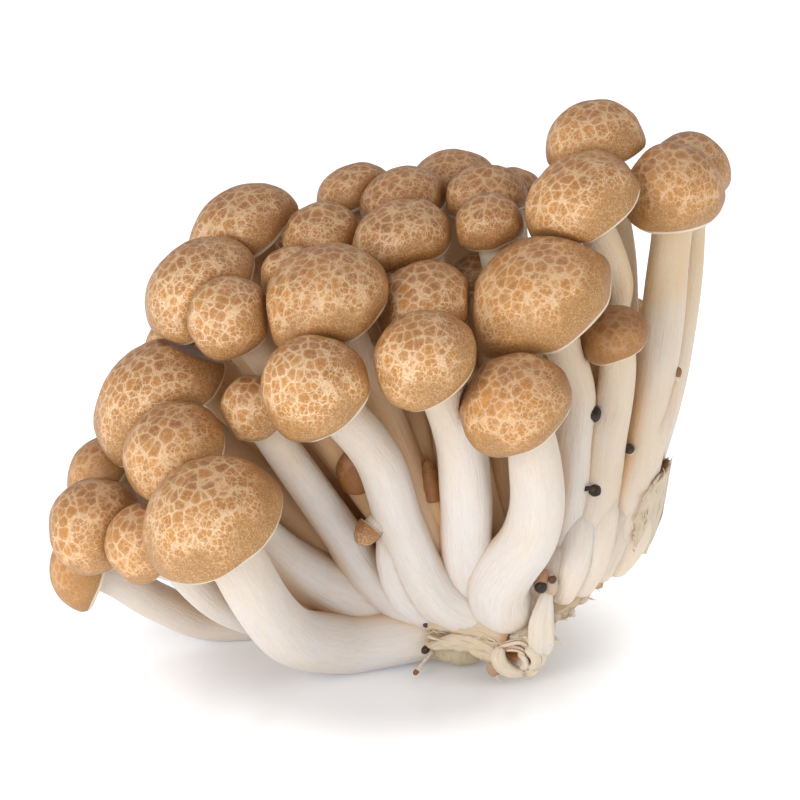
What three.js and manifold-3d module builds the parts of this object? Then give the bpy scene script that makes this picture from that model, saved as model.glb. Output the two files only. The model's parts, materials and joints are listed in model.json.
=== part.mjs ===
// A bunch of fresh brown beech mushrooms, lying tipped over on its cut base and its lowest stems.
//
// Millimetres, +Z up. X runs along the bunch from the low, outspread left side to the tall right
// side, and Y runs from the front to the far side. Every mushroom is one row of BUNCH, written in
// the bunch's own working frame, whose origin is where the cut root touches the table. MIDDLE then
// moves the whole bunch so that the origin is the middle of its footprint.
//
// The white flesh, stems and base, grew as one piece and is one solid. Each brown cap is a solid of
// its own, with fluted gills below, and sits a hair's breadth above the stem that carries it.

import * as THREE from 'three';
import * as BufferGeometryUtils from 'three/addons/utils/BufferGeometryUtils.js';
import Module from 'manifold-3d';

const wasm = await Module();
wasm.setup();

// ---------------------------------------------------------------- driving dimensions

const MIDDLE = [-26.8, 17.3]; // middle of the footprint in the working frame
const GAP = 0.3; // clear space between two separate solids

// points round a cap, for caps up to so many millimetres across
const CAP_SIDES = [{ upTo: 6, sides: 8 }, { upTo: 17.5, sides: 12 }, { upTo: 40, sides: 14 }];
const DOME_STEPS = [0.3, 0.57, 0.8, 1]; // rings of the dome, as shares of the way to its edge
const GILL_RISE = 0.22; // how far the gills hollow the cap out, as a share of its half width
const GILL_RELIEF = 0.45; // height of a gill fold above the fold's valley
const EDGE_THICKNESS = 0.9; // the cap's rolled-in edge
const EDGE_SHARE = 0.13; // and the most that the edge takes of a small cap's half width
const PRESS_REACH = 2; // caps nearer than this press flats into each other
const STANDOFF = 1.05; // a stem keeps off a cap that isn't its own as if the cap were this much larger
const LEAN_REACH = 60; // no stem comes near a cap whose middle is further than this from its own cap's

const STEM_SIDES = 7; // points round a stem
const STEM_STEP = 13; // a ring of points about every so many millimetres of stem
const FOOT_ROUNDING = 0.3; // how far a stem's foot bulges past its first ring, against its girth

// One row for each mushroom:
//   at      middle of the cap's widest ring
//   across  the cap's greatest width
//   tall    height of the dome above the widest ring, as a share of half the width
//   curl    how far the edge rolls in below the widest ring, 0 none to 1 fully
//   nod     the way the cap faces, away from its stem
//   girth   thickness of the stem at its foot, belly and neck
//   way     points that the stem passes, from its foot in the base up to near the cap
const BUNCH = {
  // the front row, over the big lying stem and the four upright ones
  cap_01: { at: [-59.5, -29, 43.5], across: 27.5, tall: 0.92, curl: 0.2, nod: [-5, -4, 9],
    girth: [12, 12.5, 11], way: [[-17, 8, 7], [-27, 7, 6], [-37, 3, 6.2], [-48, -8, 14]] },
  cap_02: { at: [-40, -21, 67], across: 21, tall: 1.15, curl: 0.8, nod: [-6, -4, 8],
    girth: [10, 9.6, 9.2], way: [[-6, 5, 10], [-17.4, 2, 17], [-24.6, -2, 33], [-29.6, -8, 50]] },
  cap_03: { at: [-20, -20, 72.5], across: 20.5, tall: 0.97, curl: 0.7, nod: [-5, -4, 8],
    girth: [8.5, 10, 9], way: [[-5, 6, 12], [-11, 2, 23], [-12, -3, 40], [-13.5, -6, 53]] },
  cap_04: { at: [-3, -19, 63.5], across: 22, tall: 0.9, curl: 0.7, nod: [-5, -4, 8],
    girth: [13, 11.2, 9], way: [[-3, 3, 12], [-4, -2, 21], [1, -5, 33], [1.5, -10, 45.5]] },
  cap_05: { at: [2, -3, 79.5], across: 30, tall: 0.75, curl: 0.4, nod: [-5, -3, 8],
    girth: [8, 8.5, 7.5], way: [[4, 5, 20], [7, 4, 32], [8.5, 3, 48], [9, 2.5, 62]] },
  cap_06: { at: [16.5, 2, 71], across: 14, tall: 0.8, curl: 0.5, nod: [-3, -3, 8],
    girth: [9, 9.2, 7], way: [[8, 7, 16], [12.4, 5, 30], [15.4, 6, 47]] },
  // the crown, from the second row back to the far edge
  cap_07: { at: [-39, -6, 80], across: 25.5, tall: 0.85, curl: 0.6, nod: [-4, -3, 8],
    girth: [9, 10, 9], way: [[-10, 9, 13], [-20, 5, 32], [-30, 0, 58]] },
  cap_08: { at: [-20, -1, 77.5], across: 20, tall: 0.92, curl: 0.7, nod: [-3, -3, 8],
    girth: [8, 9, 8], way: [[-5, 11, 14], [-12, 6, 40]] },
  cap_09: { at: [-9.5, 17.5, 78.5], across: 11.5, tall: 0.9, curl: 0.7, nod: [-2, 0, 9],
    girth: [6, 6, 5.5], way: [[0, 16, 16], [-5, 15, 50]] },
  cap_10: { at: [-7.5, 12, 90.5], across: 14, tall: 0.95, curl: 0.8, nod: [-2, -2, 9],
    girth: [7, 7, 6], way: [[2, 12, 18], [-2, 10, 55]] },
  cap_11: { at: [-24.5, 13, 87], across: 20.5, tall: 0.8, curl: 0.7, nod: [-3, -1, 9],
    girth: [8, 9, 8], way: [[-4, 16, 14], [-15, 13, 50]] },
  cap_12: { at: [-40.5, 20, 86], across: 16, tall: 0.9, curl: 0.7, nod: [-3, -1, 9],
    girth: [8, 8, 7], way: [[-8, 20, 13], [-26, 18, 52]] },
  cap_13: { at: [-24, 29, 91], across: 18, tall: 0.8, curl: 0.7, nod: [-2, 0, 9],
    girth: [8, 9, 8], way: [[-3, 23, 14], [-15, 25, 52]] },
  cap_14: { at: [-34, 39, 90], across: 16, tall: 0.8, curl: 0.7, nod: [-3, 1, 8],
    girth: [8, 8, 7], way: [[-8, 28, 13], [-24, 33, 52]] },
  cap_15: { at: [-14, 44, 91], across: 18, tall: 0.8, curl: 0.7, nod: [-1, 1, 9],
    girth: [8, 9, 8], way: [[-1, 30, 15], [-9, 36, 52]] },
  cap_16: { at: [-8, 26, 92.5], across: 17, tall: 0.8, curl: 0.7, nod: [-1, 0, 9],
    girth: [8, 8, 7], way: [[3, 22, 18], [-1, 26, 55]] },
  cap_17: { at: [-2.5, 37, 90.5], across: 14, tall: 0.8, curl: 0.7, nod: [0, 0, 9],
    girth: [7, 7, 6], way: [[5, 28, 18], [1, 32, 55]] },
  // the left side, leaning out further the lower it is
  cap_18: { at: [-56, 28, 84.5], across: 24, tall: 0.8, curl: 0.6, nod: [-5, 0, 8],
    girth: [9, 10, 9], way: [[-12, 22, 12], [-34, 24, 46]] },
  cap_19: { at: [-63.5, 11, 77], across: 25, tall: 0.82, curl: 0.5, nod: [-6, -2, 7],
    girth: [9, 10, 9], way: [[-14, 16, 11], [-37, 14, 42]] },
  cap_20: { at: [-57, -4, 76], across: 17, tall: 1.1, curl: 0.9, nod: [-5, -4, 7],
    girth: [8, 8, 7], way: [[-12, 11, 12], [-34, 7, 42]] },
  cap_21: { at: [-52.5, -8, 59], across: 13.5, tall: 1.15, curl: 0.9, nod: [-4, -4, 8],
    girth: [8.5, 8.5, 7], way: [[-17, 7, 10], [-29, 6, 18], [-37, 3, 31]] },
  cap_22: { at: [-46.5, 8, 82], across: 12, tall: 0.9, curl: 0.7, nod: [-4, -1, 8],
    girth: [6, 6, 5.5], way: [[-10, 14, 13], [-29, 11, 50]] },
  cap_23: { at: [-71.5, 7, 55.5], across: 30, tall: 0.8, curl: 0.2, nod: [-6, -2, 7],
    girth: [10, 12.5, 11], way: [[-17, 15, 9], [-42, 12, 27]] },
  cap_24: { at: [-67.5, -12, 51.5], across: 21.5, tall: 0.95, curl: 0.5, nod: [-6, -4, 7],
    girth: [10, 12.5, 9], way: [[-18, 12, 8], [-33, 10.5, 13.2], [-49.5, 0, 26.5]] },
  cap_25: { at: [-83.5, 11, 39.5], across: 17, tall: 0.9, curl: 0.6, nod: [-7, 0, 6],
    girth: [8, 8.5, 7], way: [[-19, 19, 7], [-52, 17, 22]] },
  cap_26: { at: [-83.5, -5, 34], across: 20, tall: 1.05, curl: 0.9, nod: [-6, -4, 6],
    girth: [8, 8.5, 8], way: [[-20, 14, 6], [-52, 12, 15]] },
  cap_27: { at: [-73.5, -16, 35], across: 16, tall: 1.05, curl: 0.6, nod: [-6, -5, 5],
    girth: [7.5, 8, 7], way: [[-20, 10, 5.5], [-46, 12, 7], [-60, 2, 15]] },
  cap_28: { at: [-87, 6, 22], across: 18, tall: 0.9, curl: 0.7, nod: [-9, -1, 3],
    girth: [8, 8.5, 8], way: [[-20, 22, 6], [-42, 24, 4.3], [-64, 20, 4.6], [-74, 14, 11]] },
  // the tall ones on the right
  cap_29: { at: [10.5, 9, 95.5], across: 24, tall: 0.78, curl: 0.3, nod: [-5, -3, 8],
    girth: [8, 8, 7.5], way: [[6, 11, 20], [10, 12, 40], [16, 15, 70], [17, 13, 80]] },
  cap_30: { at: [14, 26, 103], across: 20, tall: 0.95, curl: 0.3, nod: [-2, -1, 9],
    girth: [8, 8, 7], way: [[9, 18, 20], [17, 20, 46], [19, 25, 78]] },
  cap_31: { at: [28.5, 18, 95], across: 20.5, tall: 1.05, curl: 1, nod: [-1, -2, 9],
    girth: [11, 9, 8], way: [[14, 11, 22], [21, 10, 36], [26, 14, 62], [28, 18, 80]] },
  cap_32: { at: [33, 33, 95.5], across: 17, tall: 1.05, curl: 1, nod: [0, 0, 9],
    girth: [9, 8.5, 7.5], way: [[17, 18, 24], [25, 20, 42], [31, 27, 66]] },
  // the far side
  cap_33: { at: [-69, 30, 60], across: 18, tall: 0.85, curl: 0.7, nod: [-7, 2, 6],
    girth: [9, 11, 9.5], way: [[-14, 24, 10], [-44, 27, 32]] },
  cap_34: { at: [-50, 44, 74], across: 18, tall: 0.85, curl: 0.7, nod: [-5, 4, 7],
    girth: [8, 9, 8], way: [[-10, 28, 11], [-32, 34, 42]] },
  cap_35: { at: [-31, 54, 73], across: 19, tall: 0.85, curl: 0.7, nod: [-3, 5, 7],
    girth: [8.5, 9.5, 8], way: [[-5, 32, 12], [-20, 42, 42]] },
  cap_36: { at: [-9, 57, 74], across: 20, tall: 0.85, curl: 0.6, nod: [-1, 5, 8],
    girth: [8.5, 9.5, 8.5], way: [[2, 34, 14], [-4, 45, 44]] },
  cap_37: { at: [8, 46, 84], across: 17, tall: 0.85, curl: 0.7, nod: [1, 3, 8],
    girth: [8, 8.5, 7], way: [[9, 30, 18], [6, 36, 50]] },
  cap_38: { at: [-60, 48, 50], across: 19, tall: 0.9, curl: 0.7, nod: [-7, 5, 5],
    girth: [8, 9, 8], way: [[-12, 30, 7], [-38, 40, 26]] },
  cap_39: { at: [-40, 62, 48], across: 20, tall: 0.9, curl: 0.7, nod: [-5, 7, 5],
    girth: [9, 10, 9], way: [[-8, 36, 7], [-26, 50, 24]] },
  cap_40: { at: [-17, 68, 49], across: 19, tall: 0.9, curl: 0.6, nod: [-2, 8, 5],
    girth: [9, 9.5, 8], way: [[-2, 38, 8], [-10, 54, 26]] },
  cap_41: { at: [7, 60, 58], across: 17, tall: 0.9, curl: 0.7, nod: [2, 7, 6],
    girth: [8, 8.5, 7.5], way: [[8, 36, 14], [6, 48, 34]] },
  cap_42: { at: [-77, 30, 36], across: 16, tall: 0.9, curl: 0.7, nod: [-9, 2, 4],
    girth: [8, 8, 7], way: [[-16, 26, 7], [-48, 29, 17]] },
  cap_43: { at: [22, 46, 60], across: 15, tall: 0.85, curl: 0.7, nod: [3, 5, 7],
    girth: [8, 8, 7], way: [[16, 28, 22], [21, 36, 42]] },
  cap_44: { at: [-66, 50, 28], across: 14, tall: 0.9, curl: 0.7, nod: [-8, 5, 2],
    girth: [7.5, 7.5, 6.5], way: [[-16, 32, 5.5], [-42, 42, 10]] },
  cap_45: { at: [-30, 62, 28], across: 12, tall: 0.95, curl: 0.8, nod: [-4, 8, 1],
    girth: [6.5, 6.5, 6], way: [[-8, 36, 6], [-20, 50, 12]] },
  // a baby mushroom in front, its cap no bigger than a pea
  button_cap: { at: [-30.8, -5.6, 33.6], across: 5.8, tall: 0.85, curl: 0.3, nod: [-6, -6, -1],
    girth: [4.8, 5.2, 2.9], way: [[-17, 5, 10], [-24.5, 1, 17], [-27.6, -1.6, 25]] },
};

// The base that all the stems grow from: lumps, each an ellipsoid given by its middle, its half
// sizes and the turn about Y that tips it the way the cut runs.
const CUT_TURN = -39; // degrees, the cut rises to the right
const BASE_LUMPS = [
  { at: [2, 20, 20], half: [31, 22, 9], turn: CUT_TURN }, // the pad
  { at: [-13, 11, 5.5], half: [9, 9, 6.2], turn: 0 }, // the front heel, which meets the table
  { at: [-10, 34, 5.5], half: [9, 8, 6.2], turn: 0 }, // the far heel, which meets the table
];
const LUMP_SIDES = 16;
const LUMP_RINGS = 8;

// Swollen feet of the right-hand stems, which hang over the cut: the points that each one passes on
// its way down and its widths at even steps along it.
const SWOLLEN_FEET = [
  { way: [[22.6, 13.5, 42], [22.4, 11.6, 33], [20.6, 9.6, 25.5], [16.4, 8.4, 19.2]], widths: [7.5, 8.2, 8, 5.5] },
  { way: [[18.6, 10, 41], [18.6, 8.6, 33], [16.8, 7.2, 26], [13.8, 6.6, 18.4]], widths: [7, 6.8, 6.6, 5.2] },
  { way: [[14.8, 6.2, 38], [13.8, 4.6, 30], [12.2, 4.2, 23], [9.6, 4.6, 16.6]], widths: [8.2, 8.8, 8, 5.6] },
  { way: [[10.4, 4.4, 36], [10, 2.6, 29], [8.6, 1.8, 22.5], [6.4, 3.2, 15.6]], widths: [7.6, 7.8, 7.2, 5] },
];

// The round cut root that sticks out at the front, from inside the base to its cut face.
const ROOT = { from: [3, 8, 13], to: [-1.3, -3.2, 6.1], thickness: 10.2 };

// Pinheads, mushrooms that never grew: each from its root in the flesh to its dark head.
const PINS = [
  { from: [11.4, 3, 53.8], to: [12.3, -1.3, 56.5], head: 3.4 },
  { from: [14, 6, 39], to: [13.2, 0.7, 39.8], head: 3 },
  { from: [20, 10, 45.5], to: [19.6, 3.9, 47], head: 2.4 },
  { from: [25.5, 12, 45], to: [30.1, 13.2, 61.3], head: 2.3 },
  { from: [3, 4, 20], to: [2.5, -4.6, 22], head: 2.9 },
  { from: [6, 4, 21], to: [5, -4, 22.6], head: 2.1 },
  { from: [-18, 6, 10.5], to: [-20, 0.8, 11.3], head: 1.3 },
  { from: [-18, 6, 6], to: [-20.3, -0.4, 6.1], head: 1.6 },
  { from: [-18.5, 3.5, 4.5], to: [-22.2, 0.2, 0.9], head: 1.1 },
  { from: [-33, 6, 47], to: [-34.7, 2.2, 48], head: 1.7 },
];
const PIN_SIDES = 6;
const PIN_STALK = 0.45; // a pin's stalk against its head

// ---------------------------------------------------------------- solids from rings of points

/**
 * A closed solid skinned over rings of points, listed from the top pole down to the bottom pole.
 * A ring may hold twice as many points as the ring beside it, which folds the skin between them.
 */
function solidOfRings(top, rings, bottom) {
  const corners = [top, ...rings.flat(), bottom];
  const starts = [];
  let next = 1;
  for (const ring of rings) {
    starts.push(next);
    next += ring.length;
  }
  const faces = [];
  const first = rings[0].length;
  for (let i = 0; i < first; i += 1) {
    faces.push(0, starts[0] + i, starts[0] + ((i + 1) % first));
  }
  for (let r = 0; r + 1 < rings.length; r += 1) {
    const upper = { start: starts[r], count: rings[r].length };
    const lower = { start: starts[r + 1], count: rings[r + 1].length };
    faces.push(...bandFaces(upper, lower));
  }
  const last = rings.at(-1).length;
  const lastStart = starts.at(-1);
  for (let i = 0; i < last; i += 1) {
    faces.push(next, lastStart + ((i + 1) % last), lastStart + i);
  }
  const geometry = new THREE.BufferGeometry().setFromPoints(corners);
  geometry.setIndex(faces);
  return geometry;
}

/** The triangles between two neighbouring rings of equal, doubled or halved counts. */
function bandFaces(upper, lower) {
  const faces = [];
  const steps = Math.min(upper.count, lower.count);
  const up = (i) => upper.start + (i % upper.count);
  const down = (i) => lower.start + (i % lower.count);
  for (let i = 0; i < steps; i += 1) {
    if (upper.count === lower.count) {
      faces.push(up(i), down(i), down(i + 1), up(i), down(i + 1), up(i + 1));
    } else if (lower.count > upper.count) {
      faces.push(up(i), down(2 * i), down(2 * i + 1), up(i), down(2 * i + 1), up(i + 1));
      faces.push(up(i + 1), down(2 * i + 1), down(2 * i + 2));
    } else {
      faces.push(down(i), up(2 * i + 1), up(2 * i), down(i), down(i + 1), up(2 * i + 1));
      faces.push(down(i + 1), up(2 * i + 2), up(2 * i + 1));
    }
  }
  return faces;
}

/** A ring of points round a centre, across the two given directions. */
function ringOfPoints(centre, sideways, onward, radius, count) {
  return Array.from({ length: count }, (unused, i) => {
    const turn = (2 * Math.PI * i) / count;
    return centre.clone()
      .addScaledVector(sideways, radius * Math.cos(turn))
      .addScaledVector(onward, radius * Math.sin(turn));
  });
}

/** Two directions square to an axis and to each other. */
function across(axis) {
  const onward = new THREE.Vector3(0, 1, 0);
  const sideways = new THREE.Vector3().crossVectors(onward, axis).normalize();
  return { sideways, onward: new THREE.Vector3().crossVectors(axis, sideways) };
}

/** Lifts every point that would be under the table up onto it, which leaves a flat to lie on. */
function laidOnTable(geometry) {
  const position = geometry.attributes.position;
  for (let i = 0; i < position.count; i += 1) {
    position.setZ(i, Math.max(position.getZ(i), 0));
  }
  return geometry;
}

function toManifold(geometry) {
  const solid = geometry.clone();
  for (const name of Object.keys(solid.attributes)) {
    if (name !== 'position') solid.deleteAttribute(name);
  }
  const merged = BufferGeometryUtils.mergeVertices(solid, 1e-4);
  return new wasm.Manifold(new wasm.Mesh({
    numProp: 3,
    vertProperties: merged.attributes.position.array,
    triVerts: Uint32Array.from(merged.index.array),
  }));
}

function toGeometry(manifold) {
  const mesh = manifold.getMesh();
  const geometry = new THREE.BufferGeometry();
  geometry.setAttribute('position', new THREE.Float32BufferAttribute(mesh.vertProperties, 3));
  geometry.setIndex(Array.from(mesh.triVerts));
  return geometry;
}

// ---------------------------------------------------------------- the caps

/** What follows from a mushroom's row: its cap's half width, axis, edge and gill heights. */
function capShape(row) {
  const half = row.across / 2;
  const axis = new THREE.Vector3(...row.nod).normalize();
  const edgeTurn = THREE.MathUtils.degToRad(92 + 36 * row.curl);
  const below = 0.35 + 0.3 * row.curl;
  const edge = { radius: half * Math.sin(edgeTurn), height: half * below * Math.cos(edgeTurn) };
  const seat = { radius: row.girth[2] / 2 + 0.6, height: edge.height + GILL_RISE * half };
  return { half, axis, edgeTurn, below, edge, seat, middle: new THREE.Vector3(...row.at) };
}

/**
 * The flats that neighbouring caps press into each other. Each is a plane square to the line
 * between two caps, which it parts in the ratio of their half widths.
 */
function pressFlats(name) {
  const mine = capShape(BUNCH[name]);
  const flats = [];
  for (const other of Object.keys(BUNCH)) {
    const theirs = capShape(BUNCH[other]);
    const reach = mine.half + theirs.half;
    const towards = theirs.middle.clone().sub(mine.middle);
    const distance = towards.length();
    if (other === name || distance > reach + PRESS_REACH) continue;
    towards.normalize();
    const share = (distance * mine.half) / reach - GAP / 2;
    flats.push({ towards, point: mine.middle.clone().addScaledVector(towards, share) });
  }
  return flats;
}

/** Moves a point to at least a depth behind every flat; three rounds settle where flats meet. */
function pressed(point, flats, depth = 0) {
  for (let round = 0; round < 3; round += 1) {
    for (const { towards, point: onFlat } of flats) {
      const beyond = point.clone().sub(onFlat).dot(towards) + depth;
      if (beyond > 0) point.addScaledVector(towards, -beyond);
    }
  }
  return point;
}

/** The rings of a cap's dome, from near its top to its edge, grown by a share of its size. */
function domeRings(name, growth = 1) {
  const row = BUNCH[name];
  const { half, axis, edgeTurn, below, middle } = capShape(row);
  const { sideways, onward } = across(axis);
  const { sides } = CAP_SIDES.find(({ upTo }) => row.across <= upTo);
  return DOME_STEPS.map((step) => {
    const turn = step * edgeTurn;
    const height = growth * half * (turn < Math.PI / 2 ? row.tall : below) * Math.cos(turn);
    const centre = middle.clone().addScaledVector(axis, height);
    return ringOfPoints(centre, sideways, onward, growth * half * Math.sin(turn), sides);
  });
}

/** A cap: dome, rolled-in edge, a hollow of gill folds, and the seat over its stem. */
function capGeometry(name) {
  const row = BUNCH[name];
  const { half, axis, edge, seat, middle } = capShape(row);
  const { sideways, onward } = across(axis);
  const along = (height) => middle.clone().addScaledVector(axis, height);
  const ring = (radius, height, count) => ringOfPoints(along(height), sideways, onward, radius, count);

  const dome = domeRings(name);
  const sides = dome[0].length;
  const thickness = Math.min(EDGE_THICKNESS, EDGE_SHARE * half);
  const lip = { radius: edge.radius - thickness, height: edge.height + 0.6 * thickness };
  const lipRing = ring(lip.radius, lip.height, sides);
  const rise = seat.height - lip.height;
  const gills = ring((lip.radius + seat.radius) / 2, lip.height + 0.6 * rise, 2 * sides);
  const relief = Math.min(GILL_RELIEF, 0.3 * rise);
  gills.forEach((point, i) => point.addScaledVector(axis, i % 2 === 0 ? relief : -relief));
  const seatRing = ring(seat.radius, seat.height, sides);

  const flats = pressFlats(name);
  const top = pressed(along(half * row.tall), flats);
  dome.flat().forEach((point) => pressed(point, flats));
  lipRing.forEach((point) => pressed(point, flats, 0.6 * thickness));
  gills.forEach((point) => pressed(point, flats, thickness));
  seatRing.forEach((point) => pressed(point, flats, 1.3 * thickness));
  return solidOfRings(top, [...dome, lipRing, gills, seatRing], along(seat.height));
}

/** A cap with its hollow filled and a little larger all over, which keeps other stems off it. */
function filledCap(name) {
  const row = BUNCH[name];
  const { half, axis, edge, middle } = capShape(row);
  const top = middle.clone().addScaledVector(axis, STANDOFF * half * row.tall);
  const bottom = middle.clone().addScaledVector(axis, STANDOFF * edge.height);
  return solidOfRings(top, domeRings(name, STANDOFF), bottom);
}

// ---------------------------------------------------------------- the stems

/** A smooth curve through the stem's points that runs into the cap along the cap's axis. */
function stemCurve(row) {
  const { axis, seat, middle } = capShape(row);
  const neck = middle.clone().addScaledVector(axis, seat.height - GAP);
  const points = [...row.way.map((p) => new THREE.Vector3(...p)), neck];
  const heading = points.map((point, i) => {
    if (i === points.length - 1) return axis.clone();
    return points[i + 1].clone().sub(points[Math.max(i - 1, 0)]).normalize();
  });
  const curve = new THREE.CurvePath();
  for (let i = 0; i + 1 < points.length; i += 1) {
    const third = points[i].distanceTo(points[i + 1]) / 3;
    curve.add(new THREE.CubicBezierCurve3(
      points[i],
      points[i].clone().addScaledVector(heading[i], third),
      points[i + 1].clone().addScaledVector(heading[i + 1], -third),
      points[i + 1],
    ));
  }
  return curve;
}

/** The stem's radius at a share of its length from the foot. */
function stemRadius([foot, belly, neck], share) {
  const stations = [0, 0.08, 0.3, 0.75, 0.93, 1];
  const widths = [0.8 * foot, foot, belly, (belly + 2 * neck) / 3, neck, 1.1 * neck];
  const i = Math.min(stations.findIndex((s) => s >= share), stations.length - 1);
  if (i === 0) return widths[0] / 2;
  const part = (share - stations[i - 1]) / (stations[i] - stations[i - 1]);
  return THREE.MathUtils.lerp(widths[i - 1], widths[i], part) / 2;
}

function stemGeometry(row) {
  const curve = stemCurve(row);
  const steps = Math.round(curve.getLength() / STEM_STEP);
  const points = curve.getSpacedPoints(steps);
  const frames = curve.computeFrenetFrames(steps, false);
  const rings = points.map((point, i) => ringOfPoints(
    point,
    frames.normals[i],
    frames.binormals[i],
    stemRadius(row.girth, i / steps),
    STEM_SIDES,
  ));
  const heel = points[0].clone().addScaledVector(frames.tangents[0], -FOOT_ROUNDING * row.girth[0]);
  return laidOnTable(solidOfRings(points.at(-1), rings.reverse(), heel));
}

// ---------------------------------------------------------------- the base and what sits on it

function lumpGeometry({ at, half, turn }) {
  const lump = new THREE.SphereGeometry(1, LUMP_SIDES, LUMP_RINGS);
  lump.rotateX(Math.PI / 2);
  lump.scale(...half);
  lump.rotateY(THREE.MathUtils.degToRad(turn));
  lump.translate(...at);
  return laidOnTable(lump);
}

/** A swollen foot: rings along a smooth curve through its points, closed at both ends. */
function footGeometry({ way, widths }) {
  const curve = new THREE.CatmullRomCurve3(way.map((p) => new THREE.Vector3(...p)));
  const steps = widths.length - 1;
  const points = curve.getSpacedPoints(steps);
  const frames = curve.computeFrenetFrames(steps, false);
  const rings = points.map((point, i) => ringOfPoints(
    point,
    frames.normals[i],
    frames.binormals[i],
    widths[i] / 2,
    STEM_SIDES,
  ));
  const low = points.at(-1).clone().addScaledVector(frames.tangents.at(-1), FOOT_ROUNDING * widths.at(-1));
  const high = points[0].clone().addScaledVector(frames.tangents[0], -FOOT_ROUNDING * widths[0]);
  return solidOfRings(low, rings.reverse(), high);
}

/** A rod from one point to another with a thicker end, as rings along its axis. */
function knobGeometry({ from, to }, stations, sides) {
  const start = new THREE.Vector3(...from);
  const end = new THREE.Vector3(...to);
  const axis = end.clone().sub(start);
  const { sideways, onward } = across(axis.clone().normalize());
  const rings = stations.map(({ share, radius }) => ringOfPoints(
    start.clone().addScaledVector(axis, share), sideways, onward, radius, sides));
  return laidOnTable(solidOfRings(end, rings.reverse(), start));
}

function rootGeometry() {
  const radius = ROOT.thickness / 2;
  const stations = [
    { share: 0.02, radius: 0.9 * radius },
    { share: 0.75, radius },
    { share: 0.97, radius: 1.05 * radius },
  ];
  return knobGeometry(ROOT, stations, 10);
}

function pinGeometry(pin) {
  const radius = pin.head / 2;
  const reach = new THREE.Vector3(...pin.to).distanceTo(new THREE.Vector3(...pin.from));
  const headShare = pin.head / reach;
  const stations = [
    { share: 0.02, radius: 1.2 * PIN_STALK * pin.head },
    { share: 1 - headShare, radius: PIN_STALK * pin.head },
    { share: 1 - 0.75 * headShare, radius },
    { share: 1 - 0.2 * headShare, radius: 0.75 * radius },
  ];
  return knobGeometry(pin, stations, PIN_SIDES);
}

/** A stem trimmed back where it would lean into a cap that isn't its own. */
function trimmedStem(name, fills) {
  const own = capShape(BUNCH[name]);
  let stem = toManifold(stemGeometry(BUNCH[name]));
  for (const [other, fill] of Object.entries(fills)) {
    const strange = other !== name && own.middle.distanceTo(capShape(BUNCH[other]).middle) < LEAN_REACH;
    if (strange && !stem.intersect(fill).isEmpty()) stem = stem.subtract(fill);
  }
  return stem;
}

/** All the white flesh in one solid. */
function fleshGeometry() {
  const names = Object.keys(BUNCH);
  const fills = Object.fromEntries(names.map((name) => [name, toManifold(filledCap(name))]));
  const pieces = [
    ...BASE_LUMPS.map(lumpGeometry).map(toManifold),
    ...SWOLLEN_FEET.map(footGeometry).map(toManifold),
    ...[rootGeometry(), ...PINS.map(pinGeometry)].map(toManifold),
    ...names.map((name) => trimmedStem(name, fills)),
  ];
  const flesh = pieces.reduce((sum, piece) => sum.add(piece));
  const bodies = flesh.decompose().sort((a, b) => b.volume() - a.volume());
  return toGeometry(bodies[0]);
}

// ---------------------------------------------------------------- the bunch

const flesh = new THREE.MeshStandardMaterial({ name: 'stem_flesh', color: '#efe6d8', roughness: 0.55 });
const skin = new THREE.MeshStandardMaterial({ name: 'cap_skin', color: '#c2925a', roughness: 0.6 });
const button = new THREE.MeshStandardMaterial({ name: 'button_skin', color: '#a8703f', roughness: 0.65 });

const bunch = new THREE.Group();
bunch.position.set(-MIDDLE[0], -MIDDLE[1], 0);

const caps = Object.fromEntries(Object.keys(BUNCH).map((name) => [name, capGeometry(name)]));
const stems = new THREE.Mesh(fleshGeometry(), flesh);
stems.name = 'stem_clump';
bunch.add(stems);
for (const [name, geometry] of Object.entries(caps)) {
  const cap = new THREE.Mesh(geometry, name === 'button_cap' ? button : skin);
  cap.name = name;
  bunch.add(cap);
}

export default bunch;
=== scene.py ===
"""A bunch of brown beech mushrooms on its cut root, with marbled caps, fluted gills, satin stems and a torn base."""

import json
import math

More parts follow.
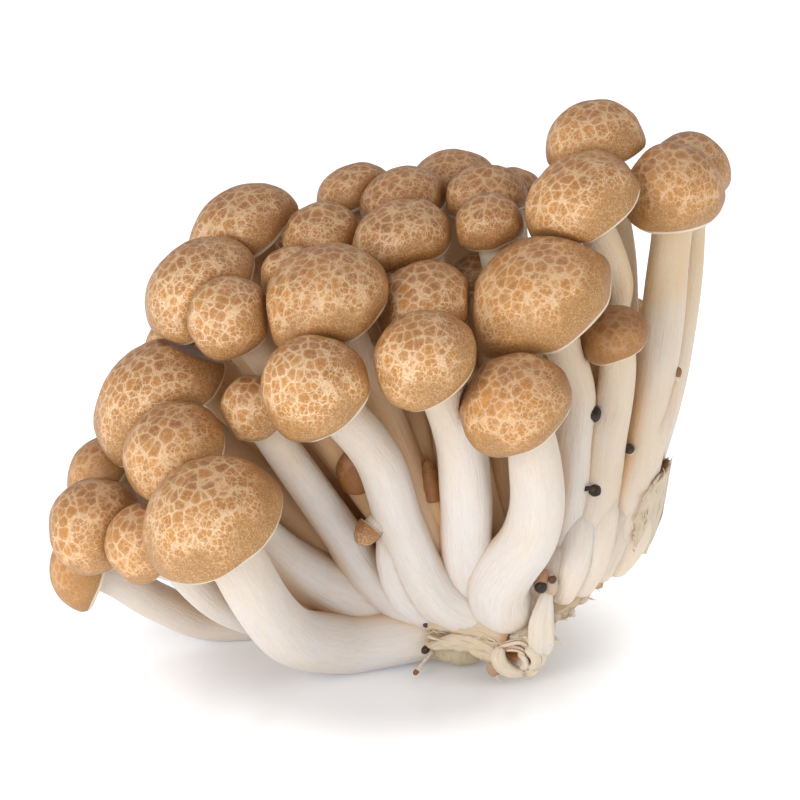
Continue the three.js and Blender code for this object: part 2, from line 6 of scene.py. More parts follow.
import bpy
import numpy as np
from bpy.props import FloatProperty, FloatVectorProperty, IntProperty, PointerProperty
from mathutils import Vector
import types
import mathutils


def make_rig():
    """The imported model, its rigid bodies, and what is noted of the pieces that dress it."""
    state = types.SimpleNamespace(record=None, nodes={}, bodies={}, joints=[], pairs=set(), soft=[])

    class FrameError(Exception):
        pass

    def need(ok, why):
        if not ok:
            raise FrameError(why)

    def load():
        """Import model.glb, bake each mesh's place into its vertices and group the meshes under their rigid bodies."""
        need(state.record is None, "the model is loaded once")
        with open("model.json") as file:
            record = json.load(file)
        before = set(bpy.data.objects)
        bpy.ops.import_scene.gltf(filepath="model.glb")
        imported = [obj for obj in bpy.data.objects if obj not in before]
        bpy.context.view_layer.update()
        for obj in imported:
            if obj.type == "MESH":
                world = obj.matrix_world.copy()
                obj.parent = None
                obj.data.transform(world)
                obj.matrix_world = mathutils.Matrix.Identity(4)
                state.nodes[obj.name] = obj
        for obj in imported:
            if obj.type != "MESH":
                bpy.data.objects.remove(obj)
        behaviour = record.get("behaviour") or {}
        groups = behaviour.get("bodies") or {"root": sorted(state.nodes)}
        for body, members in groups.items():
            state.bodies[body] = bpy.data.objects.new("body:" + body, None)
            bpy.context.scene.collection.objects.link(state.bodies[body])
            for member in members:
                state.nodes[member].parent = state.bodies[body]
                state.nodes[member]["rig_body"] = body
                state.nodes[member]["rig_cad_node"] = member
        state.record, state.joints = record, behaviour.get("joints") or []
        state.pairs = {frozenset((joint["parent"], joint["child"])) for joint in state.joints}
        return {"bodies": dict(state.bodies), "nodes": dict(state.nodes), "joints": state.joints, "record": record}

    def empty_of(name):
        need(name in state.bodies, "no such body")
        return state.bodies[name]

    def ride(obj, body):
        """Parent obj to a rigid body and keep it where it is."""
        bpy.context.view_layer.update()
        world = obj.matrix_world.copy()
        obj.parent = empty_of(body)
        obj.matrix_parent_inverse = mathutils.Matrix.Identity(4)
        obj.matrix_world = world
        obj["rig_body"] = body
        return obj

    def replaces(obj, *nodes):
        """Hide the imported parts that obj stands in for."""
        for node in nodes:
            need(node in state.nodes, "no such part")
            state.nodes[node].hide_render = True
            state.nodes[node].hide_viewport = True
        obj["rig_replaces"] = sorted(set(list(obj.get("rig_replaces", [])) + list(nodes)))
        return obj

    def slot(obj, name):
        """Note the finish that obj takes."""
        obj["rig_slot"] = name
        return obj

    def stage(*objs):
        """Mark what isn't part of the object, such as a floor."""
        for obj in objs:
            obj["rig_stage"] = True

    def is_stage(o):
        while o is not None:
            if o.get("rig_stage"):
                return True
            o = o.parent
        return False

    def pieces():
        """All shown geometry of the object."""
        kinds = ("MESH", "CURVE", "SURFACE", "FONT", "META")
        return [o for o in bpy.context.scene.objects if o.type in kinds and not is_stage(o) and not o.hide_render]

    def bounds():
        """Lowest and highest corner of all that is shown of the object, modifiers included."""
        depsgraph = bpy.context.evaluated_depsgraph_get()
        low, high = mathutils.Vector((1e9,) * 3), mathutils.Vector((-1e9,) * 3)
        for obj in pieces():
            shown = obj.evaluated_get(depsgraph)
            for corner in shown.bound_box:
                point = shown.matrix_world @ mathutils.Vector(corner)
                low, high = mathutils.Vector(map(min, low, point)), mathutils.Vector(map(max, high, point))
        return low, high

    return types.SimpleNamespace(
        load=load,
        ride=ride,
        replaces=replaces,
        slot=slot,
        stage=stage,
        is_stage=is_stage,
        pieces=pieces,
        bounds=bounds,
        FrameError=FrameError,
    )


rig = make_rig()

bl_info = {
    "name": "Beech mushroom bunch",
    "version": (1, 0, 0),
    "blender": (4, 5, 0),
    "location": "View3D > Sidebar > Mushrooms",
    "description": "Dresses a bunch of brown beech mushrooms: caps, gills, stems, base and pinheads",
    "category": "Add Mesh",
}

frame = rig.load()
CAD_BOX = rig.bounds()

# ---------------------------------------------------------------- the bunch, in millimetres

SHIFT = np.array([26.8, -17.3, 0.0])  # from the bunch's working frame to the middle of its footprint
TABLE_GAP = 0.03  # how far the flesh stays over the table
RIPPLE_WAVES = 14  # how many waves make a ripple
BEZIER_STEPS = 40  # the fine steps along each Bezier curve, before it is cut evenly

GAP = 0.3  # clear space between two pressed caps
PRESS_REACH = 2.0  # caps nearer than this press flats into each other
PRESS_SOFTNESS = 0.35  # how gently a cap's skin turns into a pressed flat
PRESS_ROUNDS = 3  # how often a cap is moved behind all its flats
CAP_CLEARANCE = 0.25  # clear space between a stem and a strange cap

LARGE_HALF = 8  # half the width over which a cap has the finer mesh
EDGE_TURN, EDGE_TURN_BY_CURL = 92, 36  # degrees from a cap's axis to its edge, and what the curl adds
BELOW, BELOW_BY_CURL = 0.35, 0.3  # depth under the widest ring as a share of half the width, and what the curl adds
EDGE_THICKNESS, EDGE_SHARE = 0.9, 0.13  # a cap's rolled-in edge, and its most as a share of half the width
FEWEST_BLADES, POINTS_PER_BLADE = 16, 6  # the gills under a small cap, and the points across each
LARGE_MESH, SMALL_MESH = (40, 96), (30, 72)  # rings from the apex to the edge, and the points round each
DROOP_SEED, SWELL_SEED = 500, 60  # what is added to a cap's seed for its sagging edge and its swellings
UPWARD_PIGMENT_AND_SHADE = 0.75  # how much browner a cap is where it faces up: partly its pigment, partly painted shade on its top
REACH_BY_CURL = 0.06  # how much nearer its edge a curled cap's marbling looks
GILL_RISE = 0.22  # how far the gills hollow a cap out, as a share of its half width
SEAT_ROOM = 0.6  # how much wider than the stem's radius its seat in the gills is
LIP_ROLL = np.radians((30, 62, 95, 128, 160, 180))  # where the rings stand on the lip's half circle
CLIMB = np.array((0.25, 0.5, 0.75, 1.0))  # where the rings stand on the way from the lip to the seat

STEM_COUNT = 30  # points round a stem
STEM_LOBES = {2: 1.6, 3: 1.0, 5: 0.55, 7: 0.45, 9: 0.35}  # lobes round a stem: the share of the flutes' depth
FOOT_LOBES = {2: 0.05, 3: 0.035, 5: 0.03, 9: 0.02}  # lobes round a swollen foot: their share of its radius
FILLET = 2.4  # how near another stem makes a stem swell towards it
FILLET_FLOOR = 0.6  # the height over the table under which no stem swells
CREASE_REACH = 1.6  # how near another stem makes a crease
SHADE_REACH = 40  # how near another stem has to be to shut a point in
LEAST_WEIGHT, FRONT_WEIGHT = 0.2, 1.3  # what a ball counts wherever it lies, and more towards the front
SHUT_FULL = 5.0  # the summed sky share of other stems at which a point counts as wholly shut in
FRONT = np.array([-0.25, -0.95, 0.2], np.float32)  # where the open side of the bunch faces

# the seed of each kind of piece, which grows by one for each of the kind, or by nine for each sheet
SEED = {"caps": 100, "button": 77, "stems": 300, "folds": 560, "pad": 700, "heels": 710, "feet": 730, "stub": 733,
        "shaded": 760, "strips": 800, "skirt": 840, "stains": 866, "crumbs": 870, "pins": 900, "young": 950,
        "tail": 990}

# name: middle of the widest ring, width, height of the dome as a share of half the width, how far
# the edge rolls in, the way the cap faces, the stem's thickness at foot, belly and neck, and the
# points that the stem passes from its foot up
BUNCH = {
    "cap_01": ((-59.5, -29, 43.5), 27.5, 0.92, 0.2, (-5, -4, 9), (12, 12.5, 11),
        ((-17, 8, 7), (-27, 7, 6), (-37, 3, 6.2), (-48, -8, 14))),
    "cap_02": ((-40, -21, 67), 21, 1.15, 0.8, (-6, -4, 8), (10, 9.6, 9.2),
        ((-6, 5, 10), (-17.4, 2, 17), (-24.6, -2, 33), (-29.6, -8, 50))),
    "cap_03": ((-20, -20, 72.5), 20.5, 0.97, 0.7, (-5, -4, 8), (8.5, 10, 9),
        ((-5, 6, 12), (-11, 2, 23), (-12, -3, 40), (-13.5, -6, 53))),
    "cap_04": ((-3, -19, 63.5), 22, 0.9, 0.7, (-5, -4, 8), (13, 11.2, 9),
        ((-3, 3, 12), (-5.3, -2, 21), (0.7, -5, 33), (1.5, -10, 45.5))),
    "cap_05": ((2, -3, 79.5), 30, 0.75, 0.4, (-5, -3, 8), (8, 8.5, 7.5),
        ((4, 5, 20), (7, 4, 32), (8.5, 3, 48), (9, 2.5, 62))),
    "cap_06": ((16.5, 2, 71), 14, 0.8, 0.5, (-3, -3, 8), (9, 9.2, 7),
        ((8, 7, 16), (12.4, 5, 30), (15.4, 6, 47))),
    "cap_07": ((-39, -6, 80), 25.5, 0.85, 0.6, (-4, -3, 8), (9, 10, 9),
        ((-10, 9, 13), (-20, 5, 32), (-30, 0, 58))),
    "cap_08": ((-20, -1, 77.5), 20, 0.92, 0.7, (-3, -3, 8), (8, 9, 8),
        ((-5, 11, 14), (-12, 6, 40))),
    "cap_09": ((-9.5, 17.5, 78.5), 11.5, 0.9, 0.7, (-2, 0, 9), (6, 6, 5.5),
        ((0, 16, 16), (-5, 15, 50))),
    "cap_10": ((-7.5, 12, 90.5), 14, 0.95, 0.8, (-2, -2, 9), (7, 7, 6),
        ((2, 12, 18), (-2, 10, 55))),
    "cap_11": ((-24.5, 13, 87), 20.5, 0.8, 0.7, (-3, -1, 9), (8, 9, 8),
        ((-4, 16, 14), (-15, 13, 50))),
    "cap_12": ((-40.5, 20, 86), 16, 0.9, 0.7, (-3, -1, 9), (8, 8, 7),
        ((-8, 20, 13), (-26, 18, 52))),
    "cap_13": ((-24, 29, 91), 18, 0.8, 0.7, (-2, 0, 9), (8, 9, 8),
        ((-3, 23, 14), (-15, 25, 52))),
    "cap_14": ((-34, 39, 90), 16, 0.8, 0.7, (-3, 1, 8), (8, 8, 7),
        ((-8, 28, 13), (-24, 33, 52))),
    "cap_15": ((-14, 44, 91), 18, 0.8, 0.7, (-1, 1, 9), (8, 9, 8),
        ((-1, 30, 15), (-9, 36, 52))),
    "cap_16": ((-8, 26, 92.5), 17, 0.8, 0.7, (-1, 0, 9), (8, 8, 7),
        ((3, 22, 18), (-1, 26, 55))),
    "cap_17": ((-2.5, 37, 90.5), 14, 0.8, 0.7, (0, 0, 9), (7, 7, 6),
        ((5, 28, 18), (1, 32, 55))),
    "cap_18": ((-56, 28, 84.5), 24, 0.8, 0.6, (-5, 0, 8), (9, 10, 9),
        ((-12, 22, 12), (-34, 24, 46))),
    "cap_19": ((-63.5, 11, 77), 25, 0.82, 0.5, (-6, -2, 7), (9, 10, 9),
        ((-14, 16, 11), (-37, 14, 42))),
    "cap_20": ((-57, -4, 76), 17, 1.1, 0.9, (-5, -4, 7), (8, 8, 7),
        ((-12, 11, 12), (-34, 7, 42))),
    "cap_21": ((-52.5, -8, 59), 13.5, 1.15, 0.9, (-4, -4, 8), (8.5, 8.5, 7),
        ((-17, 7, 10), (-29, 6, 18), (-37, 3, 31))),
    "cap_22": ((-46.5, 8, 82), 12, 0.9, 0.7, (-4, -1, 8), (6, 6, 5.5),
        ((-10, 14, 13), (-29, 11, 50))),
    "cap_23": ((-71.5, 7, 55.5), 30, 0.8, 0.2, (-6, -2, 7), (10, 12.5, 11),
        ((-17, 15, 9), (-42, 12, 27))),
    "cap_24": ((-67.5, -12, 51.5), 21.5, 0.95, 0.5, (-6, -4, 7), (10, 12.5, 9),
        ((-18, 12, 8), (-33, 10.5, 13.2), (-49.5, 0, 26.5))),
    "cap_25": ((-83.5, 11, 39.5), 17, 0.9, 0.6, (-7, 0, 6), (8, 8.5, 7),
        ((-19, 19, 7), (-52, 17, 22))),
    "cap_26": ((-83.5, -5, 34), 20, 1.05, 0.9, (-6, -4, 6), (8, 8.5, 8),
        ((-20, 14, 6), (-52, 12, 15))),
    "cap_27": ((-73.5, -16, 35), 16, 1.05, 0.6, (-6, -5, 5), (7.5, 8, 7),
        ((-20, 10, 5.5), (-46, 12, 7), (-60, 2, 15))),
    "cap_28": ((-87, 6, 22), 18, 0.9, 0.7, (-9, -1, 3), (8, 8.5, 8),
        ((-20, 22, 6), (-42, 24, 4.3), (-64, 20, 4.6), (-74, 14, 11))),
    "cap_29": ((10.5, 9, 95.5), 24, 0.78, 0.3, (-5, -3, 8), (8, 8, 7.5),
        ((6, 11, 20), (10, 12, 40), (16, 15, 70), (17, 13, 80))),
    "cap_30": ((14, 26, 103), 20, 0.95, 0.3, (-2, -1, 9), (8, 8, 7),
        ((9, 18, 20), (17, 20, 46), (19, 25, 78))),
    "cap_31": ((28.5, 18, 95), 20.5, 1.05, 1, (-1, -2, 9), (11, 9, 8),
        ((14, 11, 22), (21, 10, 36), (26, 14, 62), (28, 18, 80))),
    "cap_32": ((33, 33, 95.5), 17, 1.05, 1, (0, 0, 9), (9, 8.5, 7.5),
        ((17, 18, 24), (25, 20, 42), (31, 27, 66))),
    "cap_33": ((-69, 30, 60), 18, 0.85, 0.7, (-7, 2, 6), (9, 11, 9.5),
        ((-14, 24, 10), (-44, 27, 32))),
    "cap_34": ((-50, 44, 74), 18, 0.85, 0.7, (-5, 4, 7), (8, 9, 8),
        ((-10, 28, 11), (-32, 34, 42))),
    "cap_35": ((-31, 54, 73), 19, 0.85, 0.7, (-3, 5, 7), (8.5, 9.5, 8),
        ((-5, 32, 12), (-20, 42, 42))),
    "cap_36": ((-9, 57, 74), 20, 0.85, 0.6, (-1, 5, 8), (8.5, 9.5, 8.5),
        ((2, 34, 14), (-4, 45, 44))),
    "cap_37": ((8, 46, 84), 17, 0.85, 0.7, (1, 3, 8), (8, 8.5, 7),
        ((9, 30, 18), (6, 36, 50))),
    "cap_38": ((-60, 48, 50), 19, 0.9, 0.7, (-7, 5, 5), (8, 9, 8),
        ((-12, 30, 7), (-38, 40, 26))),
    "cap_39": ((-40, 62, 48), 20, 0.9, 0.7, (-5, 7, 5), (9, 10, 9),
        ((-8, 36, 7), (-26, 50, 24))),
    "cap_40": ((-17, 68, 49), 19, 0.9, 0.6, (-2, 8, 5), (9, 9.5, 8),
        ((-2, 38, 8), (-10, 54, 26))),
    "cap_41": ((7, 60, 58), 17, 0.9, 0.7, (2, 7, 6), (8, 8.5, 7.5),
        ((8, 36, 14), (6, 48, 34))),
    "cap_42": ((-77, 30, 36), 16, 0.9, 0.7, (-9, 2, 4), (8, 8, 7),
        ((-16, 26, 7), (-48, 29, 17))),
    "cap_43": ((22, 46, 60), 15, 0.85, 0.7, (3, 5, 7), (8, 8, 7),
        ((16, 28, 22), (21, 36, 42))),
    "cap_44": ((-66, 50, 28), 14, 0.9, 0.7, (-8, 5, 2), (7.5, 7.5, 6.5),
        ((-16, 32, 5.5), (-42, 42, 10))),
    "cap_45": ((-30, 62, 28), 12, 0.95, 0.8, (-4, 8, 1), (6.5, 6.5, 6),
        ((-8, 36, 6), (-20, 50, 12))),
    "button_cap": ((-30.7, -5.2, 34.2), 5.4, 1.45, 0.3, (-6.2, -3, -7.2), (4.8, 5.2, 3.6),
        ((-17, 5, 10), (-24.5, 1, 17), (-27.4, -1.4, 25.5), (-27.9, -3.2, 35.0))),
}

# how brown each cap's crown is and how strongly its net shows, where they aren't the usual
USUAL_LOOK = (0.18, 0.85)
CAP_LOOKS = {
    "cap_01": (0.06, 0.85), "cap_02": (0.08, 0.92), "cap_03": (0.12, 0.92), "cap_04": (0.14, 0.72),
    "cap_05": (0.02, 0.72), "cap_06": (0.5, 0.32), "cap_07": (0.22, 0.8), "cap_08": (0.3, 0.9),
    "cap_09": (0.5, 0.85), "cap_10": (0.55, 0.9), "cap_11": (0.45, 0.95), "cap_12": (0.45, 0.95),
    "cap_13": (0.8, 0.85), "cap_14": (0.45, 0.85), "cap_15": (0.68, 0.8), "cap_16": (0.55, 0.85),
    "cap_17": (0.6, 0.7), "cap_18": (0.34, 0.95), "cap_19": (0.14, 0.95), "cap_20": (0.16, 0.95),
    "cap_21": (0.15, 0.9), "cap_23": (0.12, 0.95), "cap_24": (0.16, 0.8), "cap_25": (0.15, 0.5),
    "cap_26": (0.15, 0.8), "cap_27": (0.1, 0.75), "cap_28": (0.1, 0.35), "cap_29": (0.1, 0.84),
    "cap_30": (0.14, 0.85), "cap_31": (0.12, 0.72), "cap_32": (0.2, 0.85),
}

# The base: each lump an ellipsoid by its middle, its half sizes and its turn about Y in degrees.
PAD = ((2, 20, 20), (31, 22, 9), -39)
HEELS = (((-13, 11, 5.5), (9, 9, 6.2), 0), ((-10, 34, 5.5), (9, 8, 6.2), 0))
ROOT_FROM, ROOT_MIDDLE, ROOT_ACROSS = (3, 8, 13), (-1.3, -3.2, 6.1), 10.2
ROOT_FACE = (-0.14, -0.97, -0.06)
ROOT_COUNT, DISH_RINGS = 120, 40  # points round the root, and the rings of its cut face
CORE_AT = (-1.4, 0.3)  # the core's middle, right and up from the middle of the root's cut face

FOLD_COUNT = 40  # points round a fold
# Folds round the cut face: points right, up and out of it, the widths along them, and how brown each is.
ROSETTE = (
    (((-3.6, 2.2, -0.6), (-4.1, 0.2, 0.4), (-3.3, -1.9, 0.5), (-1.2, -3.4, 0.2), (1.0, -3.7, -0.6)),
     (1.8, 2.8, 3.0, 2.5, 1.4), 0.0),
    (((-4.0, 2.0, -0.4), (-2.3, 3.1, 0.6), (0.0, 3.6, 0.4), (1.7, 2.3, -0.6)), (0.9, 1.3, 1.3, 0.8), 0.03),
    (((-2.7, 1.4, -0.2), (-1.0, 2.1, 0.4), (0.6, 1.5, 0.3), (1.2, -0.2, -0.6)), (0.8, 1.2, 1.1, 0.7), 0.12),
    (((1.2, 2.1, -0.2), (3.1, 0.9, 0.6), (3.3, -1.0, 0.4), (1.9, -2.5, -0.4)), (1.4, 2.1, 2.0, 1.2), 0.02),
    (((3.0, 2.9, -0.8), (4.6, 1.1, -0.2), (4.4, -1.1, -0.3), (3.0, -2.9, -0.8)), (1.2, 1.7, 1.6, 1.0), 0.04),
    (((-0.3, 0.5, -0.8), (1.1, -0.3, 0.1), (1.3, -1.7, 0.0), (0.1, -2.8, -0.8)), (0.9, 1.5, 1.4, 0.9), 0.05),
)

# Pinheads, mushrooms that never grew: from the flesh, to the head's far end, and the head's width.
PINS = {
    "pin_tall": ((12.2, 4.6, 53.6), (13.0, 0.3, 56.4), 3.3),
    "pin_curled": ((14, 6, 39), (13.2, 0.7, 39.8), 3.0),
    "pin_right": ((20.9, 10.6, 44.8), (20.2, 5.6, 47.0), 2.1),
    "pin_stalked": ((29.4, 13.0, 57.6), (30.2, 13.2, 61.4), 1.9),
    "pin_twin_large": ((3, 4, 20), (2.7, -5.6, 21.7), 2.5),
    "pin_twin_small": ((6, 4, 21), (4.9, -4.6, 23.0), 1.6),
    "pin_low_back": ((-18, 6, 10.5), (-20, 0.8, 11.3), 1.3),
    "pin_low": ((-18, 6, 6), (-20.3, -0.4, 6.1), 1.6),
    "pin_table": ((-18.5, 3.5, 4.5), (-22.2, 0.2, 0.9), 1.1),
    "pin_shade": ((-33, 6, 47), (-34.7, 2.2, 48), 1.7),
}
PIN_STEM = (((25.0, 10.2, 44.5), (27.2, 9.9, 50), (29.0, 10.9, 55), (29.8, 12.4, 58.8)), (2.4, 3.6, 2.4, 1.1))
# how dark the paler heads are
PIN_TONE = {"pin_twin_small": 0.86, "pin_stalked": 0.72, "pin_table": 0.75, "pin_low_back": 0.9}
PIN_TAIL = ((13.2, 0.8, 39.9), (12.2, 0.1, 40.6), (11.3, 0.6, 40.2))

# Young mushrooms in the shade between the stems: foot, cap's middle, cap width, height, and facing.
YOUNG = {
    "young_tall": ((-7, 9, 14), (-18.6, 1.6, 38.6), 4.8, 3.2, (-0.16, -0.1, 1)),
    "young_left": ((-12, 9, 12), (-33.0, 3.6, 41.8), 8.6, 1.5, (-0.4, -0.5, 1)),
}

# How much deeper in the shade some stems look than their neighbours make them.
STEM_SHADE = {"cap_07": 0.24, "cap_12": 0.4, "cap_18": 0.4, "cap_19": 0.35, "cap_20": 0.22, "cap_22": 0.4,
              "cap_23": 0.28, "cap_25": 0.15, "cap_33": 0.3, "cap_34": 0.4, "cap_38": 0.35}

SHADED_MORE = 0.55  # how much more shut in the stems in the shade look than their place makes them
# Plain stems deep in the shade: the line that each follows down, and its widths along it.
SHADED = (
    (((-24.0, 10, 66), (-22.9, 7.6, 56), (-20.2, 6.4, 42), (-17.0, 5.8, 30), (-12.0, 6.4, 17)),
     (6.6, 6.8, 6.6, 6.2, 5)),
    (((-53.5, 12, 77), (-50.2, 12.4, 67), (-42.0, 13.6, 54), (-26.0, 14.5, 32), (-13.0, 15, 15)),
     (6.5, 6.5, 6.5, 6.5, 5)),
    (((-20, 16, 66), (-18.4, 11.0, 52), (-15.6, 8.0, 40), (-10.8, 6.6, 26), (-6.6, 7.4, 15)), (9, 9.6, 9.4, 8.6, 6)),
    (((-13.0, 17, 62), (-12.2, 12.6, 50), (-9.4, 9.0, 38), (-5.0, 7.2, 25), (-1.6, 8.0, 15)), (8, 8.6, 8.8, 8.4, 6)),
    (((-4.6, 17, 62), (-3.2, 12.4, 50), (-1.6, 8.8, 38), (1.0, 7.6, 25), (2.0, 9.0, 15)), (8, 8.8, 9, 8.4, 6)),
)

# The swollen feet of the right-hand stems: the line that each follows down, and its widths along it.
FEET = (
    (((22.8, 15.2, 45), (22.4, 11.6, 33), (20.6, 9.6, 25.5), (16.4, 8.4, 19.2)), (5.0, 8.2, 8.0, 5.5)),
    (((18.8, 12.2, 44), (18.6, 8.8, 33), (16.8, 7.2, 26), (13.8, 6.6, 18.4)), (4.6, 6.8, 6.6, 5.2)),
    (((15.2, 8.8, 42), (13.8, 4.3, 30), (12.2, 3.5, 23), (9.6, 4.0, 16.6)), (5.0, 8.8, 8.0, 5.6)),
    (((10.6, 6.8, 40), (10.0, 2.4, 29), (8.6, 1.2, 22.5), (6.4, 2.6, 15.6)), (4.6, 7.8, 7.2, 5.0)),
)

# The torn stub beside the root: the line that it follows down, and its widths along it.
STUB = (((4.3, -2.2, 20.5), (3.6, -3.2, 17.2), (3.0, -3.9, 13.6), (3.0, -3.6, 10.0), (2.8, -2.4, 6.6)),
        (1.5, 3.3, 4.7, 5.0, 3.6))

# Torn sheets: the line along each one's held edge and the line along its torn edge, how far its middle
# stands proud, how ragged it is, how dry, how brown, and which way it faces.
STRIPS = (
    (((-19.4, 1.8, 12.0), (-12, 0.6, 13.4), (-7, -0.9, 13.8), (-2.4, -2.2, 13.4)),
     ((-19.2, 1.2, 10.2), (-12, -0.5, 9.6), (-7.4, -1.7, 8.6), (-4.6, -2.8, 7.2)), 0.9, 0.2, 0.85, 0.25, (0, -1, 0)),
    (((-20.0, 0.8, 7.2), (-13.5, -0.1, 10.2), (-8.4, -1.3, 9.8), (-4.8, -2.6, 9.0)),
     ((-16.8, 0.6, 6.2), (-12.4, -0.8, 6.2), (-8.8, -1.5, 4.8), (-6.0, -2.2, 3.4)), 0.8, 0.22, 0.8, 0.18, (0, -1, 0)),
)
FRINGE = (
    ((5.2, 3.4, 14.4), (10.1, 4.9, 16.9), (15.2, 7.6, 19.4)),
    ((5.0, 2.2, 10.6), (8.6, 3.4, 12.4), (11.6, 4.8, 14.6), (15.6, 7.0, 17.4)), 0.5, 0.34, 1.0, 0.2, (0.3, -0.9, -0.3))
CRUMBS = (((6.2, 2.6, 12.6), (1.9, 1.3, 1.7), 20), ((8.6, 3.4, 13.0), (1.7, 1.1, 1.3), -25),
          ((4.9, 2.0, 10.6), (1.2, 0.9, 1.3), 0), ((11.4, 4.8, 15.2), (1.5, 0.9, 0.9), -30))
SKIRT = (
    (((24.6, 11.4, 22.8), (26.9, 12.4, 27.8), (28.3, 13.2, 33.8), (28.6, 13.8, 37.5), (29.4, 14.6, 41.6)),
     ((21.8, 6.8, 24.6), (21.4, 5.0, 28.8), (21.8, 4.6, 33.0), (23.0, 5.0, 36.6), (25.8, 7.0, 39.8)),
     0.7, 0.6, 0.75, 0.12, (0.7, -0.7, 0)),
    (((24.6, 11.2, 22.8), (26.9, 12.2, 27.8), (28.4, 13.2, 33.8), (28.9, 14.0, 37.7), (29.0, 15.0, 41.0)),
     ((22.0, 15.4, 23.0), (23.6, 17.0, 27.8), (25.4, 18.4, 33), (26.6, 19.6, 37), (27.6, 20.4, 40)),
     0.8, 0.7, 0.6, 0.2, (0.9, 0.4, 0)),
)

# Brown stained lumps: each an ellipsoid as above, its rings, the points of each, and how brown it is.
STAINS = (
    (((2.9, -3.1, 22.6), (1.8, 1.8, 2.7), 12), 32, 56, 0.85),
    (((4.6, -2.7, 21.4), (1.8, 1.5, 2.6), -8), 32, 56, 0.42),
    (((-6.2, -1.8, 3.2), (1.6, 1.1, 1.9), 0), 24, 40, 0.7),
)

# Loose fibres: their seed, number, the line that they start on, how far from it, their heading and how
# far it leans, their length and width, and how brown they are.
SHREDS = (
    (81, 7, ((-7, -0.6, 6), (-4, -1.2, 3)), (1.2, 0.5, 1.0), (1, -0.5, -0.3), 0.35, 2.4, 0.8, 0.0),
    (82, 12, ((6.0, 2.2, 12.0), (9.5, 3.4, 13.0), (14, 6.0, 16.5)), (1.0, 0.6, 0.6), (0.9, -0.5, 0.1), 0.4, 0.8, 0.5,
     0.2),
    (83, 5, ((5.4, -3.2, 11.0), (5.8, -3.4, 9.8)), (0.3, 0.3, 0.5), (1, -0.3, -0.6), 0.3, 1.6, 0.6, 0.0),
    (84, 16, ((-9.6, -1.2, 9.5), (-7.0, -2.0, 9.0), (-5.0, -2.4, 9.4)), (1.2, 0.4, 1.8), (1, -0.5, -0.1), 0.2, 2.6,
     0.7, 0.0),
    (85, 9, ((-19.5, 1.6, 11), (-18.6, 0.8, 8.4), (-18.8, 1.2, 6.4)), (0.6, 0.4, 0.6), (1, -0.3, 0.05), 0.22, 3.4,
     0.8, 0.0),
)
SKIRT_SHREDS = (86, 22, ((22.8, 6.4, 30), (24.0, 6.8, 35.5), (26.6, 9, 39.4)), (0.5, 0.4, 0.8), (0.1, -0.1, 1), 0.22,
                2.8, 0.6, 0.06)

# The stage, in metres: the sky's colour and strength, what the lamps and the camera point at, and the
# lamps, each with its place, size, power and colour. The key light's power is a setting.
SKY = ((1.0, 0.995, 0.985, 1), 0.57)
LIT_POINT = (0, -0.007, 0.05)
AIM = (0.0018, -0.0073, 0.0556)
LAMPS = {
    "key_front_left": ((-0.68, -0.90, 0.42), 0.65, None, (1.0, 0.98, 0.95)),
    "top": ((0.15, 0.1, 1.3), 1.1, 2.4, (1.0, 0.99, 0.98)),
    "side_right": ((0.95, -0.35, 0.4), 0.6, 1.0, (1.0, 0.98, 0.94)),
}


# ---------------------------------------------------------------- settings that a user may change

class CapSettings(bpy.types.PropertyGroup):
    """Shape and colours of the caps."""
    plate: FloatVectorProperty(name="Plate colour", description="Colour of the brown plates on a cap",
        subtype="COLOR", size=3, min=0, max=1, default=(0.59, 0.255, 0.047))
    plate_dark: FloatVectorProperty(name="Dark plate colour", description="Colour of the plates on the crown",
        subtype="COLOR", size=3, min=0, max=1, default=(0.29, 0.105, 0.026))
    net: FloatVectorProperty(name="Net colour", description="Colour of the pale net between the plates",
        subtype="COLOR", size=3, min=0, max=1, default=(0.94, 0.68, 0.43))
    margin: FloatVectorProperty(name="Margin colour", description="Colour of the skin near the edge",
        subtype="COLOR", size=3, min=0, max=1, default=(0.385, 0.203, 0.063))
    plate_size: FloatProperty(name="Plate size", description="Width of the largest plates",
        subtype="DISTANCE", unit="LENGTH", min=0.0005, max=0.01, default=0.0022)
    unevenness: FloatProperty(name="Unevenness", description="How far a cap departs from round, as a share",
        subtype="FACTOR", min=0, max=0.2, default=0.028)
    gills: IntProperty(name="Gills", description="Gill blades under a cap 20 mm across",
        min=12, max=90, default=46)


class StemSettings(bpy.types.PropertyGroup):
    """Shape and colours of the stems."""
    flesh: FloatVectorProperty(name="Flesh colour", description="Colour of the satin white flesh",
        subtype="COLOR", size=3, min=0, max=1, default=(0.81, 0.76, 0.725))
    # the painted shade's colour, laid where other stems shut the flesh in
    tan: FloatVectorProperty(name="Shade colour", description="Colour where stems press on each other",
        subtype="COLOR", size=3, min=0, max=1, default=(0.72, 0.44, 0.215))
    ring_step: FloatProperty(name="Ring step", description="Distance between two rings of a stem's mesh",
        subtype="DISTANCE", unit="LENGTH", min=0.0005, max=0.01, default=0.0018)
    flute: FloatProperty(name="Flutes", description="Depth of the lengthwise folds, as a share of thickness",
        subtype="FACTOR", min=0, max=0.1, default=0.018)


class BaseSettings(bpy.types.PropertyGroup):
    """The cut base, root and torn layers."""
    straw: FloatVectorProperty(name="Straw colour", description="Colour of the dry torn layers",
        subtype="COLOR", size=3, min=0, max=1, default=(0.85, 0.70, 0.505))
    core: FloatVectorProperty(name="Core colour", description="Colour of the root's core and of stains",
        subtype="COLOR", size=3, min=0, max=1, default=(0.38, 0.145, 0.042))
    lumps: FloatProperty(name="Lumps", description="Height of the lumps on the base",
        subtype="DISTANCE", unit="LENGTH", min=0, max=0.004, default=0.0011)


